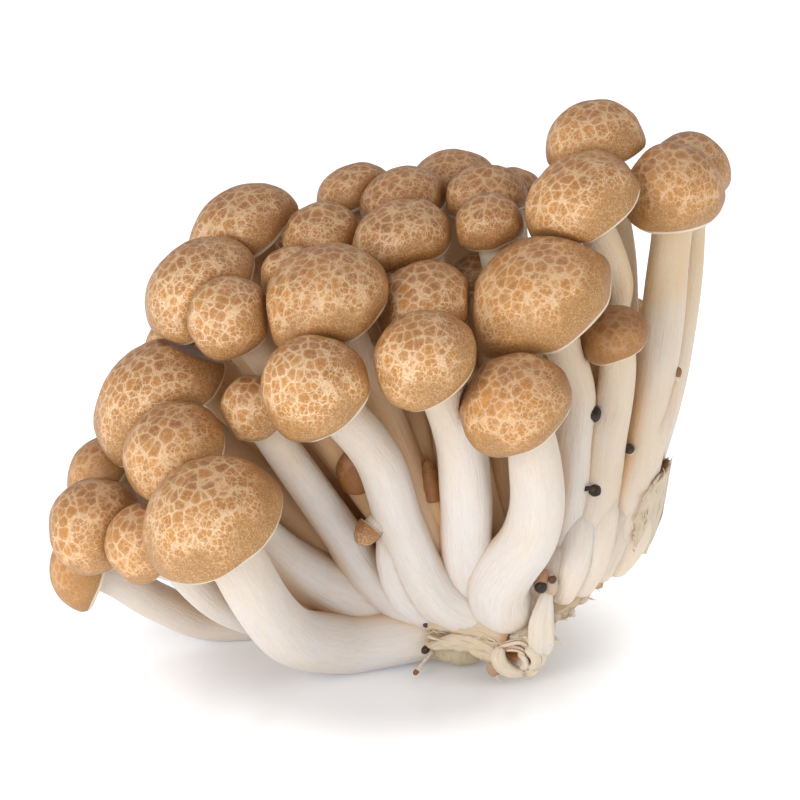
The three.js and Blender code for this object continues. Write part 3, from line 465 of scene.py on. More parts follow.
class StageSettings(bpy.types.PropertyGroup):
    """Floor, lights and camera."""
    distance: FloatProperty(name="Camera distance", description="From the camera to the bunch",
        subtype="DISTANCE", unit="LENGTH", min=0.1, max=5, default=0.616)
    elevation: FloatProperty(name="Camera elevation", description="Angle of the camera above the floor",
        subtype="ANGLE", unit="ROTATION", min=0, max=1.5, default=math.radians(18))
    key: FloatProperty(name="Key light", description="Strength of the soft light at the front left",
        unit="POWER", min=0, max=200, default=6.4)


# ---------------------------------------------------------------- numbers and surfaces

def to_frame(points):
    """Working millimetres to the part's frame in metres: the shift is added and the sum divided by a thousand."""
    return (np.asarray(points, float) + SHIFT) / 1000


def unit(vector):
    """A vector divided by its own length."""
    vector = np.asarray(vector, float)
    return vector / np.linalg.norm(vector, axis=-1, keepdims=True)


def smooth(low, high, value):
    """The smooth step: t squared times (3 minus 2t), where t is the clipped share of the way from low to high."""
    t = np.clip((value - low) / (high - low), 0, 1)
    return t * t * (3 - 2 * t)


def ripple(points, size, seed, waves=RIPPLE_WAVES):
    """Smooth noise of about -1 to 1: the mean of cosines of (wave vector dot point plus phase) with seeded wave
    vectors whose lengths are one to two turns per size, times the square root of twice their number."""
    draw = np.random.default_rng(seed)
    way = unit(draw.normal(size=(waves, 3))) * draw.uniform(1, 2, (waves, 1)) * 2 * np.pi / size / 1.5
    phase = draw.uniform(0, 2 * np.pi, waves)
    return np.cos(np.asarray(points) @ way.T + phase).mean(-1) * math.sqrt(waves / 2)


def ripples(points, seed, *kinds):
    """The sum of several ripples, each given by its size and its height, with seeds that follow one another."""
    return sum(height * ripple(points, size, seed + i) for i, (size, height) in enumerate(kinds))


def even_turns(count):
    """The turns of a ring's points, in equal steps."""
    return np.linspace(0, 2 * np.pi, count, endpoint=False)


def all_round(column, count):
    """One value a ring, given to each of the ring's points."""
    return np.repeat(column[:, None], count, 1)


def on_x(distance):
    """Points on the X axis, which make a ripple follow one distance alone."""
    return np.stack([distance, 0 * distance, 0 * distance], 1)


def on_circle(turn):
    """Points of the unit circle in the XY plane."""
    return np.stack([np.cos(turn), np.sin(turn), 0 * turn], 1)


def off_table(points, height=TABLE_GAP):
    """The points, with none of them lower than a height over the table."""
    points[..., 2] = np.maximum(points[..., 2], height)
    return points


def ring_points(centres, sideways, onward, radii, count, extra=None):
    """Rings round centres: the centre plus radius times (cosine of the turn times sideways plus sine times onward),
    with the turn in equal steps and extra, a share added to the radius, given ring by ring and point by point."""
    turn = even_turns(count)
    radius = np.asarray(radii, float)[:, None] * (1 + (0 if extra is None else extra))
    around = np.cos(turn)[None, :, None] * np.asarray(sideways)[..., None, :] + \
        np.sin(turn)[None, :, None] * np.asarray(onward)[..., None, :]
    return np.asarray(centres)[:, None, :] + radius[..., None] * around


def turned(at, axes, heights, radii, count, extra=None):
    """A profile turned about an axis through a point: its rings stand along the axis at the heights."""
    axis, sideways, onward = axes
    return ring_points(at + np.outer(heights, axis), sideways[None], onward[None], radii, count, extra)


def skin_part(rings, top, bottom, **values):
    """One closed skin: rings from the top pole to the bottom pole, the poles, and values for each point."""
    return {"rings": rings, "top": top, "bottom": bottom, "values": values}


def upward_part(rings, top, bottom, **values):
    """A closed skin whose rings and values were made from the foot up."""
    return skin_part(rings[::-1], top, bottom, **{key: grid[::-1] for key, grid in values.items()})


def bezier_line(points, step, last_heading=None):
    """An evenly spaced line through points: between two points a cubic Bezier whose handles are a third of the way
    long, headed along the neighbours' difference, at the first point towards the second and at the last as given, or
    else away from the one before it."""
    points = np.asarray(points, float)
    before = points[np.maximum(np.arange(len(points)) - 1, 0)]
    after = points[np.minimum(np.arange(len(points)) + 1, len(points) - 1)]
    heading = unit(after - before)
    if last_heading is not None:
        heading[-1] = last_heading
    t = np.linspace(0, 1, BEZIER_STEPS, endpoint=False)[:, None]
    curves = []
    for a, b, h, g in zip(points[:-1], points[1:], heading[:-1], heading[1:]):
        third = np.linalg.norm(b - a) / 3
        curves.append((1 - t) ** 3 * a + 3 * (1 - t) ** 2 * t * (a + h * third)
                      + 3 * (1 - t) * t ** 2 * (b - g * third) + t ** 3 * b)
    fine = np.concatenate([*curves, points[-1:]])
    along = np.concatenate([[0], np.cumsum(np.linalg.norm(np.diff(fine, axis=0), axis=1))])
    return spaced_line(fine, along, max(12, round(along[-1] / step)) + 1)


def spaced_line(line, along, rows):
    """A line cut into a number of evenly spaced points, and how far along it each is."""
    spaced = np.linspace(0, along[-1], rows)
    return np.stack([np.interp(spaced, along, line[:, i]) for i in range(3)], 1), spaced


def carried_frames(line):
    """Two directions square to a line at each of its points. The first is carried from point to point by taking
    away its part along the line, and the second is the line's heading crossed with the first."""
    heading = unit(np.gradient(line, axis=0))
    start = np.cross(heading[0], (0.0, 1.0, 0.0))
    side = [unit(start if np.linalg.norm(start) > 0.1 else np.cross(heading[0], (1.0, 0.0, 0.0)))]
    for h in heading[1:]:
        side.append(unit(side[-1] - h * np.dot(side[-1], h)))
    side = np.array(side)
    return side, np.cross(heading, side), heading


def drifting_lobes(draw, turn, along, lobes, drift, per):
    """How uneven rings are: each number of lobes has a size, and the sum is taken of the seeded size times the cosine
    of (the number times the turn, plus a seeded drift times the way along, plus a seeded phase)."""
    column = (len(lobes), 1, 1)
    size = np.reshape(list(lobes.values()), column) * draw.uniform(0.6, 1.4, column)
    slide = draw.uniform(-drift, drift, column) * (along / per)[None, :, None]
    phase = draw.uniform(0, 2 * np.pi, column)
    return (size * np.cos(np.reshape(list(lobes), column) * turn + slide + phase)).sum(0)


def straightened(radius, turn, along):
    """Straight coordinates in metres: radius times cosine, radius times sine, and the way along."""
    return np.stack([np.outer(radius, np.cos(turn)), np.outer(radius, np.sin(turn)),
                     all_round(along, len(turn))], -1) / 1000


# ---------------------------------------------------------------- meshes

def closed_skin(name, part, material):
    """A closed mesh over a grid of points, one row a ring from the top pole to the bottom pole, with a fan of
    triangles at each pole and quads between. Each value is a number or a vector for every point, and its pole
    values are the means of the end rows."""
    rings = part["rings"]
    rows, count = rings.shape[:2]
    points = np.concatenate([[part["top"]], rings.reshape(-1, 3), [part["bottom"]]])
    i = np.arange(count)
    after = (i + 1) % count
    first = np.stack([np.zeros(count, int), 1 + i, 1 + after], 1)
    last = 1 + (rows - 1) * count
    final = np.stack([np.full(count, 1 + rows * count), last + after, last + i], 1)
    r = 1 + np.arange(rows - 1)[:, None] * count
    quads = np.stack([r + i, r + count + i, r + count + after, r + after], -1).reshape(-1, 4)
    corners = np.concatenate([first.ravel(), quads.ravel(), final.ravel()])
    sizes = np.concatenate([np.full(count, 3), np.full(len(quads), 4), np.full(count, 3)])
    starts = np.concatenate([[0], np.cumsum(sizes)[:-1]])
    mesh = bpy.data.meshes.new(name)
    mesh.vertices.add(len(points))
    mesh.vertices.foreach_set("co", to_frame(points).astype(np.float32).ravel())
    mesh.loops.add(len(corners))
    mesh.loops.foreach_set("vertex_index", corners.astype(np.int32))
    mesh.polygons.add(len(starts))
    mesh.polygons.foreach_set("loop_start", starts.astype(np.int32))
    mesh.polygons.foreach_set("use_smooth", np.ones(len(starts), bool))
    for key, grid in part["values"].items():
        grid = np.asarray(grid, float)
        vector = grid.ndim == 3
        whole = np.concatenate([grid[:1].mean(1), grid.reshape(-1, *grid.shape[2:]), grid[-1:].mean(1)])
        layer = mesh.attributes.new(key, "FLOAT_VECTOR" if vector else "FLOAT", "POINT")
        layer.data.foreach_set("vector" if vector else "value", whole.astype(np.float32).ravel())
    mesh.update(calc_edges=True)
    mesh.validate()
    piece = bpy.data.objects.new(name, mesh)
    bpy.context.scene.collection.objects.link(piece)
    mesh.materials.append(material)
    return piece


def joined_skins(name, parts, material):
    """One mesh out of several closed skins, each put in as closed_skin does."""
    pieces = [closed_skin(f"{name}_{i}", part, material) for i, part in enumerate(parts)]
    if len(pieces) > 1:
        with bpy.context.temp_override(active_object=pieces[0], selected_editable_objects=pieces,
                                       selected_objects=pieces):
            bpy.ops.object.join()
    pieces[0].name = name
    pieces[0].data.name = name
    return pieces[0]


def settle(piece, slot, *nodes):
    """The piece rides on the one body, stands for its CAD nodes and takes its finish from a slot."""
    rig.ride(piece, "root")
    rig.replaces(piece, *nodes)
    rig.slot(piece, slot)


def settle_flesh(name, parts, finish):
    """One piece of the clump's flesh, made of its parts and settled."""
    settle(joined_skins(name, parts, finished(finish)), "stem_flesh", "stem_clump")


# ---------------------------------------------------------------- caps and gills

def cap_axes(nod):
    """The cap's axis with two directions square to it: sideways is Y crossed with the axis, onward the axis crossed
    with sideways."""
    axis = unit(nod)
    sideways = unit(np.cross((0.0, 1.0, 0.0), axis))
    return axis, sideways, np.cross(axis, sideways)


def cap_shape(row):
    """What follows from a mushroom's row. The edge is turned 92 to 128 degrees from the axis with the curl, its radius
    is half the width times the sine and its height the half width times the share below times the cosine."""
    at, across, tall, curl, nod, girth, _ = row
    half = across / 2
    turn = math.radians(EDGE_TURN + EDGE_TURN_BY_CURL * curl)
    below = BELOW + BELOW_BY_CURL * curl
    axes = cap_axes(nod)
    edge_radius, edge_height = half * math.sin(turn), half * below * math.cos(turn)
    return {"at": np.array(at, float), "half": half, "tall": tall, "below": below, "turn": turn, "curl": curl,
            "axes": axes, "axis": axes[0], "edge": (edge_radius, edge_height),
            "thick": min(EDGE_THICKNESS, EDGE_SHARE * half),
            "seat": (girth[2] / 2 + SEAT_ROOM, edge_height + GILL_RISE * half)}


SHAPES = {name: cap_shape(row) for name, row in BUNCH.items()}


def press_flats(name):
    """Planes square to the line between this cap and each near one, which part it in the ratio of the half widths."""
    mine, flats = SHAPES[name], []
    for other, theirs in SHAPES.items():
        reach = mine["half"] + theirs["half"]
        apart = np.linalg.norm(theirs["at"] - mine["at"])
        if other != name and apart <= reach + PRESS_REACH:
            towards = (theirs["at"] - mine["at"]) / apart
            flats.append((towards, mine["at"] + towards * (apart * mine["half"] / reach - GAP / 4)))
    return flats


def pressed(points, flats, depth=0.0):
    """Points moved softly behind every flat: the distance beyond becomes itself less k times the softplus of itself
    over k, so the skin bends into the flat over about a millimetre. The rounds settle where flats meet."""
    k = PRESS_SOFTNESS
    for _ in range(PRESS_ROUNDS):
        for towards, on in flats:
            beyond = (points - on) @ towards + depth
            points = points - (k * np.logaddexp(0, beyond / k))[..., None] * towards
    return points


def dome_radius_at(shape, direction_cosine):
    """How far a cap's dome is from its middle along a direction at the given cosine to the axis: the polar radius of an
    ellipse whose half axes are the half width and the half width times the height share above or below."""
    tall = np.where(direction_cosine > 0, shape["tall"], shape["below"])
    sine2 = 1 - direction_cosine ** 2
    return shape["half"] / np.sqrt(sine2 + (direction_cosine / tall) ** 2)


def kept_off_caps(points, own):
    """Points that would be inside a strange cap moved out along the line from its middle to the dome's own radius plus
    the clearance, which dents a stem where it leans on a cap."""
    flat = points.reshape(-1, 3)
    for name, shape in SHAPES.items():
        if name == own:
            continue
        away = flat - shape["at"]
        far = np.maximum(np.linalg.norm(away, axis=1), 1e-6)
        cosine = away @ shape["axis"] / far
        limit = dome_radius_at(shape, cosine) + CAP_CLEARANCE
        inside = (far < limit) & (away @ shape["axis"] >= shape["edge"][1])
        flat = np.where(inside[:, None], shape["at"] + away / far[:, None] * limit[:, None], flat)
    return flat.reshape(points.shape)


def cap_profile(shape, steps):
    """Radius, height, reach and inset of each ring from the apex to the seat. The dome follows half the width times
    the sine of the turn and times the height share times its cosine. The lip is half a turn of a small circle, and
    the inside climbs on an even slope from the lip to the seat. Reach is 0 at the apex, 1 at the edge and 2 inside."""
    half, (edge_r, edge_h), thick = shape["half"], shape["edge"], shape["thick"]
    share = np.linspace(0, 1, steps + 1)[1:]
    turn = share * shape["turn"]
    radius = half * np.sin(turn)
    height = half * np.where(turn < np.pi / 2, shape["tall"], shape["below"]) * np.cos(turn)
    lip_r = edge_r - thick / 2 + thick / 2 * np.cos(LIP_ROLL)
    lip_h = edge_h - 0.3 * thick * np.sin(LIP_ROLL) + 0.3 * thick * (1 - np.cos(LIP_ROLL))
    seat_r, seat_h = shape["seat"]
    in_r = lip_r[-1] + (seat_r * 0.6 - lip_r[-1]) * CLIMB
    in_h = lip_h[-1] + 0.5 * thick + (seat_h + 0.4 - lip_h[-1]) * np.sqrt(CLIMB)
    reach = np.concatenate([share, 1 + 0.15 * np.arange(1, len(LIP_ROLL) + 1), np.full(len(CLIMB), 2.0)])
    inset = np.concatenate([0 * share, np.linspace(0.1, 0.6, len(LIP_ROLL)) * thick, np.full(len(CLIMB), thick)])
    return np.concatenate([radius, lip_r, in_r]), np.concatenate([height, lip_h, in_h]), reach, inset


def cap_wave(count, seed, amount):
    """How far a cap departs from round, as a share for each point round it: seeded waves of two to six lobes that
    weaken with their number."""
    draw = np.random.default_rng(seed)
    lobes = np.arange(2, 7)[:, None]
    size = draw.normal(size=lobes.shape) / lobes ** 0.8
    return amount * (size * np.cos(lobes * even_turns(count) + draw.uniform(0, 2 * np.pi, lobes.shape))).sum(0)


def cap_skin(name, seed, settings, material, brown, contrast):
    """The cap's skin: its profile turned about its axis, made uneven by the cap's wave, which fades in with the
    reach, and by a slow ripple, then pressed flat where neighbours touch it. Its brown gathers on the side that
    faces up, partly its pigment and partly painted shade on its top."""
    shape = SHAPES[name]
    steps, count = LARGE_MESH if shape["half"] > LARGE_HALF else SMALL_MESH
    radius, height, reach, inset = cap_profile(shape, steps)
    fade = np.clip(reach, 0, 1)[:, None] ** 1.5
    wave = cap_wave(count, seed, settings.unevenness)
    droop = cap_wave(count, seed + DROOP_SEED, settings.unevenness * 0.9) * shape["half"]
    rings = turned(shape["at"], shape["axes"], height, radius, count, fade * wave[None])
    rings += (fade ** 2 * droop[None])[..., None] * shape["axis"]
    swell = ripples(rings, seed + SWELL_SEED, (7.0, 0.16), (3.2, 0.05))
    rings += (swell * np.where(reach <= 1, 1, 0)[:, None])[..., None] * unit(rings - shape["at"])
    flats = press_flats(name)
    grid = off_table(np.concatenate([pressed(rings[i:i + 1], flats, inset[i]) for i in range(len(rings))]), 0.05)
    top = pressed(shape["at"] + shape["axis"] * shape["half"] * shape["tall"], flats)
    bottom = shape["at"] + shape["axis"] * (shape["seat"][1] + 0.9)
    # the brown gathers where the skin faces up: partly the cap's pigment, partly painted shade on its top
    sky = unit(rings - shape["at"] + shape["axis"] * 0.15 * shape["half"])[..., 2]
    tone = np.clip(brown + UPWARD_PIGMENT_AND_SHADE * smooth(0.3, 0.95, sky), 0, 1)
    part = skin_part(grid, top, bottom, reach=all_round(reach * (1 + REACH_BY_CURL * shape["curl"]), count), brown=tone,
                     contrast=np.full(tone.shape, contrast))
    return joined_skins(name + "_skin", [part], material)


def cap_gills(name, settings, material):
    """The gills: a plate under the cap's hollow whose underside is folded into blades. Height along the axis is a
    slope from lip to seat, less a share of the blade depth that follows a sharpened cosine of blades times the turn
    and a half sine of the way in."""
    shape = SHAPES[name]
    half, (edge_r, edge_h), thick = shape["half"], shape["edge"], shape["thick"]
    blades = max(FEWEST_BLADES, round(settings.gills * (half / 10) ** 0.6))
    count = blades * POINTS_PER_BLADE
    lip_r, lip_h = edge_r - thick, edge_h + 0.6 * thick
    seat_r, seat_h = shape["seat"]
    way_in = np.concatenate([[0.0], np.linspace(0, 1, 8)])
    radius = lip_r + (seat_r - 1.0 - lip_r) * way_in
    radius[0] = lip_r + 0.25 * thick
    height = lip_h + (seat_h - lip_h) * np.sqrt(way_in) * 0.9
    height[0] = lip_h + 0.9 * thick
    turn = even_turns(count)
    fold = (0.5 + 0.5 * np.cos(blades * turn)) ** 1.6
    short = 0.75 + 0.25 * np.cos(blades * turn / 2)
    depth = min(1.5, 0.75 * (seat_h - lip_h)) * np.sin(np.pi * np.clip(way_in * 0.9 + 0.05, 0, 1)) ** 0.6
    depth[0] = 0
    drop = depth[:, None] * (fold * short)[None] - 0.45 * depth[:, None]
    rings = turned(shape["at"], shape["axes"], height, radius, count)
    rings -= drop[..., None] * shape["axis"]
    part = skin_part(pressed(rings, press_flats(name), 1.1 * thick), shape["at"] + shape["axis"] * (seat_h + 0.75),
                     shape["at"] + shape["axis"] * seat_h, fold=np.repeat((fold * short)[None], len(radius), 0))
    return joined_skins(name + "_gills", [part], material)


# ---------------------------------------------------------------- stems

def stem_radius(girth, share):
    """A stem's radius along its length: half the widths at six stations, joined by straight lines and then softened
    by a running mean."""
    foot, belly, neck = girth
    widths = np.array((0.8 * foot, foot, belly, (belly + 2 * neck) / 3, neck, 1.1 * neck)) / 2
    radius = np.interp(share, (0, 0.08, 0.3, 0.75, 0.93, 1), widths)
    span = max(3, len(share) // 9) | 1
    padded = np.pad(radius, span // 2, mode="edge")
    return np.convolve(padded, np.ones(span) / span, mode="valid")


def stem_tube(name, seed, settings):
    """A stem: rings of its radius carried along its line, with a rounded foot. Each ring is made uneven by waves of
    two to nine lobes whose phases drift along the stem. Returns its part, with its straight coordinates and its share
    of the way up, and the line and radius that fill it."""
    *_, girth, way = BUNCH[name]
    shape = SHAPES[name]
    neck = shape["at"] + shape["axis"] * (shape["seat"][1] + 0.3)
    line, along = bezier_line([*way, neck], settings.ring_step * 1000, shape["axis"])
    share = along / along[-1]
    # the foot rounds off over its last ring's radius
    radius = stem_radius(girth, share) * \
        np.sqrt(np.clip(1 - (1 - np.clip(along / (0.5 * girth[0]) + 0.35, 0, 1)) ** 2, 0.05, 1))
    side, other, heading = carried_frames(line)
    draw = np.random.default_rng(seed)
    turn = even_turns(STEM_COUNT)
    uneven = settings.flute * drifting_lobes(draw, turn, along, STEM_LOBES, 1.2, 30)
    uneven += 0.03 * ripple(on_x(along), 22.0, seed + 7)[:, None]
    rings = off_table(kept_off_caps(ring_points(line, side, other, radius, STEM_COUNT, uneven), name), 0.02)
    straight = straightened(radius, turn, along) + draw.uniform(0, 0.4, 3)
    foot = off_table(line[0] - heading[0] * 0.2 * girth[0], 0.1)
    part = upward_part(rings, line[-1], foot, straight=straight, share=all_round(share, STEM_COUNT))
    return {"part": part, "line": line, "radius": radius}


def near_others(points, outward, own, tubes):
    """For each point, how far it is from the nearest other stem's flesh, by the distance to the balls that fill the
    stems, and how much other stems shut it in: the sum of each near ball's share of the sky, which is its size over
    its distance squared, times the cosine between the point's outward direction and the way to the ball, times a
    weight that grows with how far the ball lies towards the front."""
    flat, out = points.reshape(-1, 3).astype(np.float32), outward.reshape(-1, 3).astype(np.float32)
    others = [tube for name, tube in tubes.items() if name != own]
    balls = np.concatenate([tube["line"][::2] for tube in others]).astype(np.float32)
    sizes = np.concatenate([tube["radius"][::2] for tube in others]).astype(np.float32)
    square = (flat ** 2).sum(1)[:, None] + (balls ** 2).sum(1)[None] - 2 * flat @ balls.T
    apart = np.sqrt(np.maximum(square, 1e-6))
    nearest = (apart - sizes[None]).min(1)
    facing = (out @ balls.T - (out * flat).sum(1)[:, None]) / apart
    ahead = (balls @ FRONT - (flat @ FRONT)[:, None]) / apart
    weight = LEAST_WEIGHT + FRONT_WEIGHT * np.clip(ahead, 0, 1)
    near = apart < SHADE_REACH
    shut = (np.minimum(sizes[None] / apart, 1) ** 2 * np.clip(facing, 0, 1) * weight * near).sum(1)
    return nearest.reshape(points.shape[:-1]), shut.reshape(points.shape[:-1])


def stem_part(name, tubes):
    """The stem's skin. Where another stem is nearer than the fillet it swells outward by a sixth of the fillet times
    the cube of the missing share, which rounds the crease between two stems."""
    part = tubes[name]["part"]
    rings = part["rings"]
    outward = unit(rings - tubes[name]["line"][::-1][:, None, :])
    nearest, shut = near_others(rings, outward, name, tubes)
    nearest = np.maximum(nearest, 0)
    swell = FILLET / 6 * np.clip(1 - nearest / FILLET, 0, 1) ** 3
    swell = np.where(rings[..., 2] < FILLET_FLOOR, 0, swell)
    return skin_part(rings + swell[..., None] * outward, part["top"], part["bottom"], **part["values"],
                     # crease and shut feed the flesh's painted shade: in creases and where other stems shut the point
                     # in
                     crease=np.clip(1 - nearest / CREASE_REACH, 0, 1),
                     shut=np.clip(shut / SHUT_FULL + STEM_SHADE.get(name, 0), 0, 1))


# ---------------------------------------------------------------- the base, the root and torn layers

def lump_part(lump, seed, height, rows=44, count=88, core=0.0):
    """An ellipsoid: its half sizes times (sine of the fall times cosine and sine of the turn, cosine of the fall),
    turned about Y, with ripples of two sizes along its outward direction, and nothing under the table."""
    at, half, turn_deg = lump
    fall = np.linspace(0, np.pi, rows + 2)[1:-1, None]
    turn = even_turns(count)[None]
    way = np.stack([np.sin(fall) * np.cos(turn), np.sin(fall) * np.sin(turn), np.cos(fall) + 0 * turn], -1)
    c, s = math.cos(math.radians(turn_deg)), math.sin(math.radians(turn_deg))
    spin = np.array([[c, 0, s], [0, 1, 0], [-s, 0, c]])
    points = (way * half) @ spin.T + at
    outward = unit((way / half) @ spin.T)
    swell = height * (ripple(points, 13, seed) * 0.9 + ripple(points * (1, 1, 0.5), 5, seed + 1) * 0.4) - height * 0.4
    points = off_table(points + swell[..., None] * outward, 0.02)
    pole = spin @ np.array((0, 0, half[2]))
    return skin_part(points, np.array(at) + pole, off_table(np.array(at) - pole, 0.02), grain=points / 1000,
                     torn=smooth(0.2, -0.5, outward[..., 2]), core=np.full(points.shape[:2], core))


def foot_part(points, widths, seed, count=36, pleats=1.0):
    """A swollen foot or fold: rings along a line whose radius is half the widths at even stations, rounded off over
    each end's radius, and made uneven by waves of two to nine lobes that drift along it."""
    line, along = bezier_line(points, min(0.8, widths[0] / 3))
    share = along / along[-1]
    side, other, heading = carried_frames(line)
    radius = np.interp(share, np.linspace(0, 1, len(widths)), widths) / 2
    left = np.clip(np.minimum(along / (widths[0] / 2), (along[-1] - along) / (widths[-1] / 2)), 0, 1)
    radius *= np.sqrt(np.clip(1 - (1 - left) ** 2, 0.04, 1))
    draw = np.random.default_rng(seed)
    turn = even_turns(count)
    uneven = pleats * drifting_lobes(draw, turn, along, FOOT_LOBES, 1, 12)
    rings = off_table(ring_points(line, side, other, radius, count, uneven))
    low = all_round(0.28 * (1 - share), count)
    return upward_part(rings, line[-1] + heading[-1] * 0.1, line[0],
                       straight=straightened(radius, turn, along) + draw.uniform(0, 0.4, 3), share=low,
                       crease=0 * low, shut=0.04 + 0 * low)


def fold_part(points, widths, seed, torn=0.3, core=0.0, pleats=1.6):
    """A fold of torn flesh: a foot_part that carries the torn flesh's values, its streaks running lengthwise, with a
    thin brown line along two seeded sides, where the cosine of the turn from the side is over about 0.96."""
    part = foot_part(points, widths, seed, FOLD_COUNT, pleats)
    grain = part["values"]["straight"]
    sides = np.random.default_rng(seed + 1).uniform(0, 2 * np.pi, 2)
    line = smooth(0.955, 1.0, np.cos(even_turns(FOLD_COUNT)[:, None] - sides)).max(1)
    stain = np.clip(core + 0.85 * line[None] + np.zeros(grain.shape[:2]), 0, 1)
    return {**part, "values": {"grain": grain, "torn": np.full(grain.shape[:2], torn), "core": stain}}


def sheet_part(sheet, seed, thickness=0.3, count=48):
    """A torn sheet from a held line to a torn line. Its middle stands proud by the bulge times the sine of the way
    across and seeded ripples crumple it. Ripples of two sizes tear the far edge, and one tears the end. Each ring
    runs across on the front face and back on the rear face, parted by the thickness times the sine of its turn."""
    held, torn_edge, bulge, ragged, torn, core, front = sheet
    rows = max(16, round(np.linalg.norm(np.subtract(held[-1], held[0])) / 0.4))
    start, along = spaced_line(*bezier_line(held, 0.5), rows)
    across = spaced_line(*bezier_line(torn_edge, 0.5), rows)[0] - start
    heading = unit(np.gradient(start + across / 2, axis=0))
    normal = unit(np.cross(across, heading))
    backwards = (normal @ np.array(front)).mean() < 0
    normal = -normal if backwards else normal
    turn = even_turns(count)
    way = (0.5 - 0.5 * np.cos(turn))[None]
    share = (along / along[-1])[:, None]
    tear = ragged * ripples(on_x(along), seed, (2.6, 1.0), (1.1, 0.8))[:, None] * way ** 3
    over = on_x(way[0] * np.linalg.norm(across, axis=1).mean())
    tip = 2.2 * ragged * smooth(0.72, 1, share) * ripple(over, 1.7, seed + 2)[None]
    rings = start[:, None] + way[..., None] * across[:, None] + tear[..., None] * unit(across)[:, None] \
        + tip[..., None] * heading[:, None]
    proud = bulge * np.sin(np.pi * way) + 0.22 * ripple(rings * (1, 1, 0.6), 3.0, seed + 3) \
        + ripples(over, seed + 4, (1.0, 0.16), (0.5, 0.08))[None] \
        + 0.5 * thickness * np.sin(turn)[None]
    rings = off_table(rings + proud[..., None] * normal[:, None])
    grain = np.stack([over[None, :, 0] + 0 * share, 0 * proud, along[:, None] + 0 * way], -1) / 1000 + 0.01 * seed
    edge = np.clip(smooth(0.8, 1, way) + smooth(0.85, 1, share), 0, 1)
    if backwards:
        rings, grain, edge = rings[:, ::-1], grain[:, ::-1], edge[:, ::-1]
    return upward_part(rings, rings[-1].mean(0), rings[0].mean(0), grain=grain, torn=np.full(rings.shape[:2], torn),
                       core=core * (1 + 2.2 * edge))


def strap_part(points, widths, thickness, seed, ragged=0.25, count=14, core=0.0):
    """A torn strip: a flattened tube carried along a line. Half its width runs between the given widths and is made
    ragged by seeded ripples, its thickness thins towards the tip, and it curls across with the square of the side."""
    line, along = bezier_line(points, 0.7)
    share = along / along[-1]
    side, other, heading = carried_frames(line)
    width = np.interp(share, np.linspace(0, 1, len(widths)), widths) / 2
    draw = np.random.default_rng(seed)
    turn = even_turns(count)
    spin = (draw.uniform(0, np.pi) + draw.uniform(-1.0, 1.0) * share)[:, None]
    side, other = np.cos(spin) * side + np.sin(spin) * other, np.cos(spin) * other - np.sin(spin) * side
    coarse, fine = (ripple(on_x(along), size, seed + i)[:, None] for i, size in enumerate((2.4, 1.0)))
    rough = 1 + ragged * coarse + 0.5 * ragged * fine * np.sign(np.cos(turn))
    thick = thickness * (1 - 0.6 * share)[:, None]
    lift = 0.35 * (width[:, None] * np.cos(turn) ** 2)
    rings = off_table(line[:, None] + (width[:, None] * rough * np.cos(turn))[..., None] * side[:, None]
                      + (thick * np.sin(turn) + lift)[..., None] * other[:, None])
    grain = straightened(width, turn, along) * (1, 0, 1) + draw.uniform(0, 0.3, 3)
    stain = all_round(core * (0.55 + 0.45 * smooth(0.6, 1, share)), count)
    return upward_part(rings, off_table(line[-1] + heading[-1] * 0.15), off_table(line[0].copy()), grain=grain,
                       torn=np.ones(rings.shape[:2]), core=stain)


def rosette_point(place):
    """A point given by its way right, up and out of the root's cut face."""
    face = unit(ROOT_FACE)
    right = unit(np.cross((0, 0, 1), face))
    return np.array(ROOT_MIDDLE) + place[0] * right + place[1] * np.cross(face, right) + place[2] * face


def root_part():
    """The cut root: a rod that bends to its end, a shallow ragged dish. The dish sinks towards the core, which lies
    off its middle, and seeded ripples crumple it."""
    start, end, face = np.array(ROOT_FROM, float), np.array(ROOT_MIDDLE, float), unit(ROOT_FACE)
    turn = even_turns(ROOT_COUNT)
    rod, along = bezier_line([start, (start + end) / 2 + (0.4, -0.4, -0.8), end], 0.7, face)
    side, other, _ = carried_frames(rod)
    sink = along[:, None] / along[-1]
    dents = 0.06 * ripple(on_circle(turn) * 3, 2.0, 40)[None]
    folds = 0.04 * ripple(on_circle(turn) * 5 + sink[..., None] * (0, 0, 4), 1.4, 41)
    wall = ROOT_ACROSS / 2 * (0.8 + 0.12 * sink) * (1 + dents + folds)
    cosine, sine = np.cos(turn)[None, :, None], np.sin(turn)[None, :, None]
    walls = rod[:, None] + wall[..., None] * (cosine * side[:, None] + sine * other[:, None])
    q = np.linspace(0.04, 1, DISH_RINGS)[:, None]
    spread = (wall[-1:] * q)[..., None] * (cosine * side[-1] + sine * other[-1])
    from_core = spread - rosette_point((*CORE_AT, 0)) + end
    rise = -1.5 * np.exp(-(from_core ** 2).sum(-1) / 3.2) - 0.5 + 0.3 * ripple(spread, 1.5, 9) \
        + 0.14 * ripple(spread, 0.6, 10)
    rings = off_table(np.concatenate([end + spread + rise[..., None] * face, walls[::-1][1:]]))
    core = smooth(3.4, 0.9, np.sqrt((from_core ** 2).sum(-1)))
    core = np.concatenate([core, np.zeros(walls[1:].shape[:2])])
    return skin_part(rings, end - face * 0.6, start, grain=rings / 1000, torn=np.full(rings.shape[:2], 0.6), core=core)


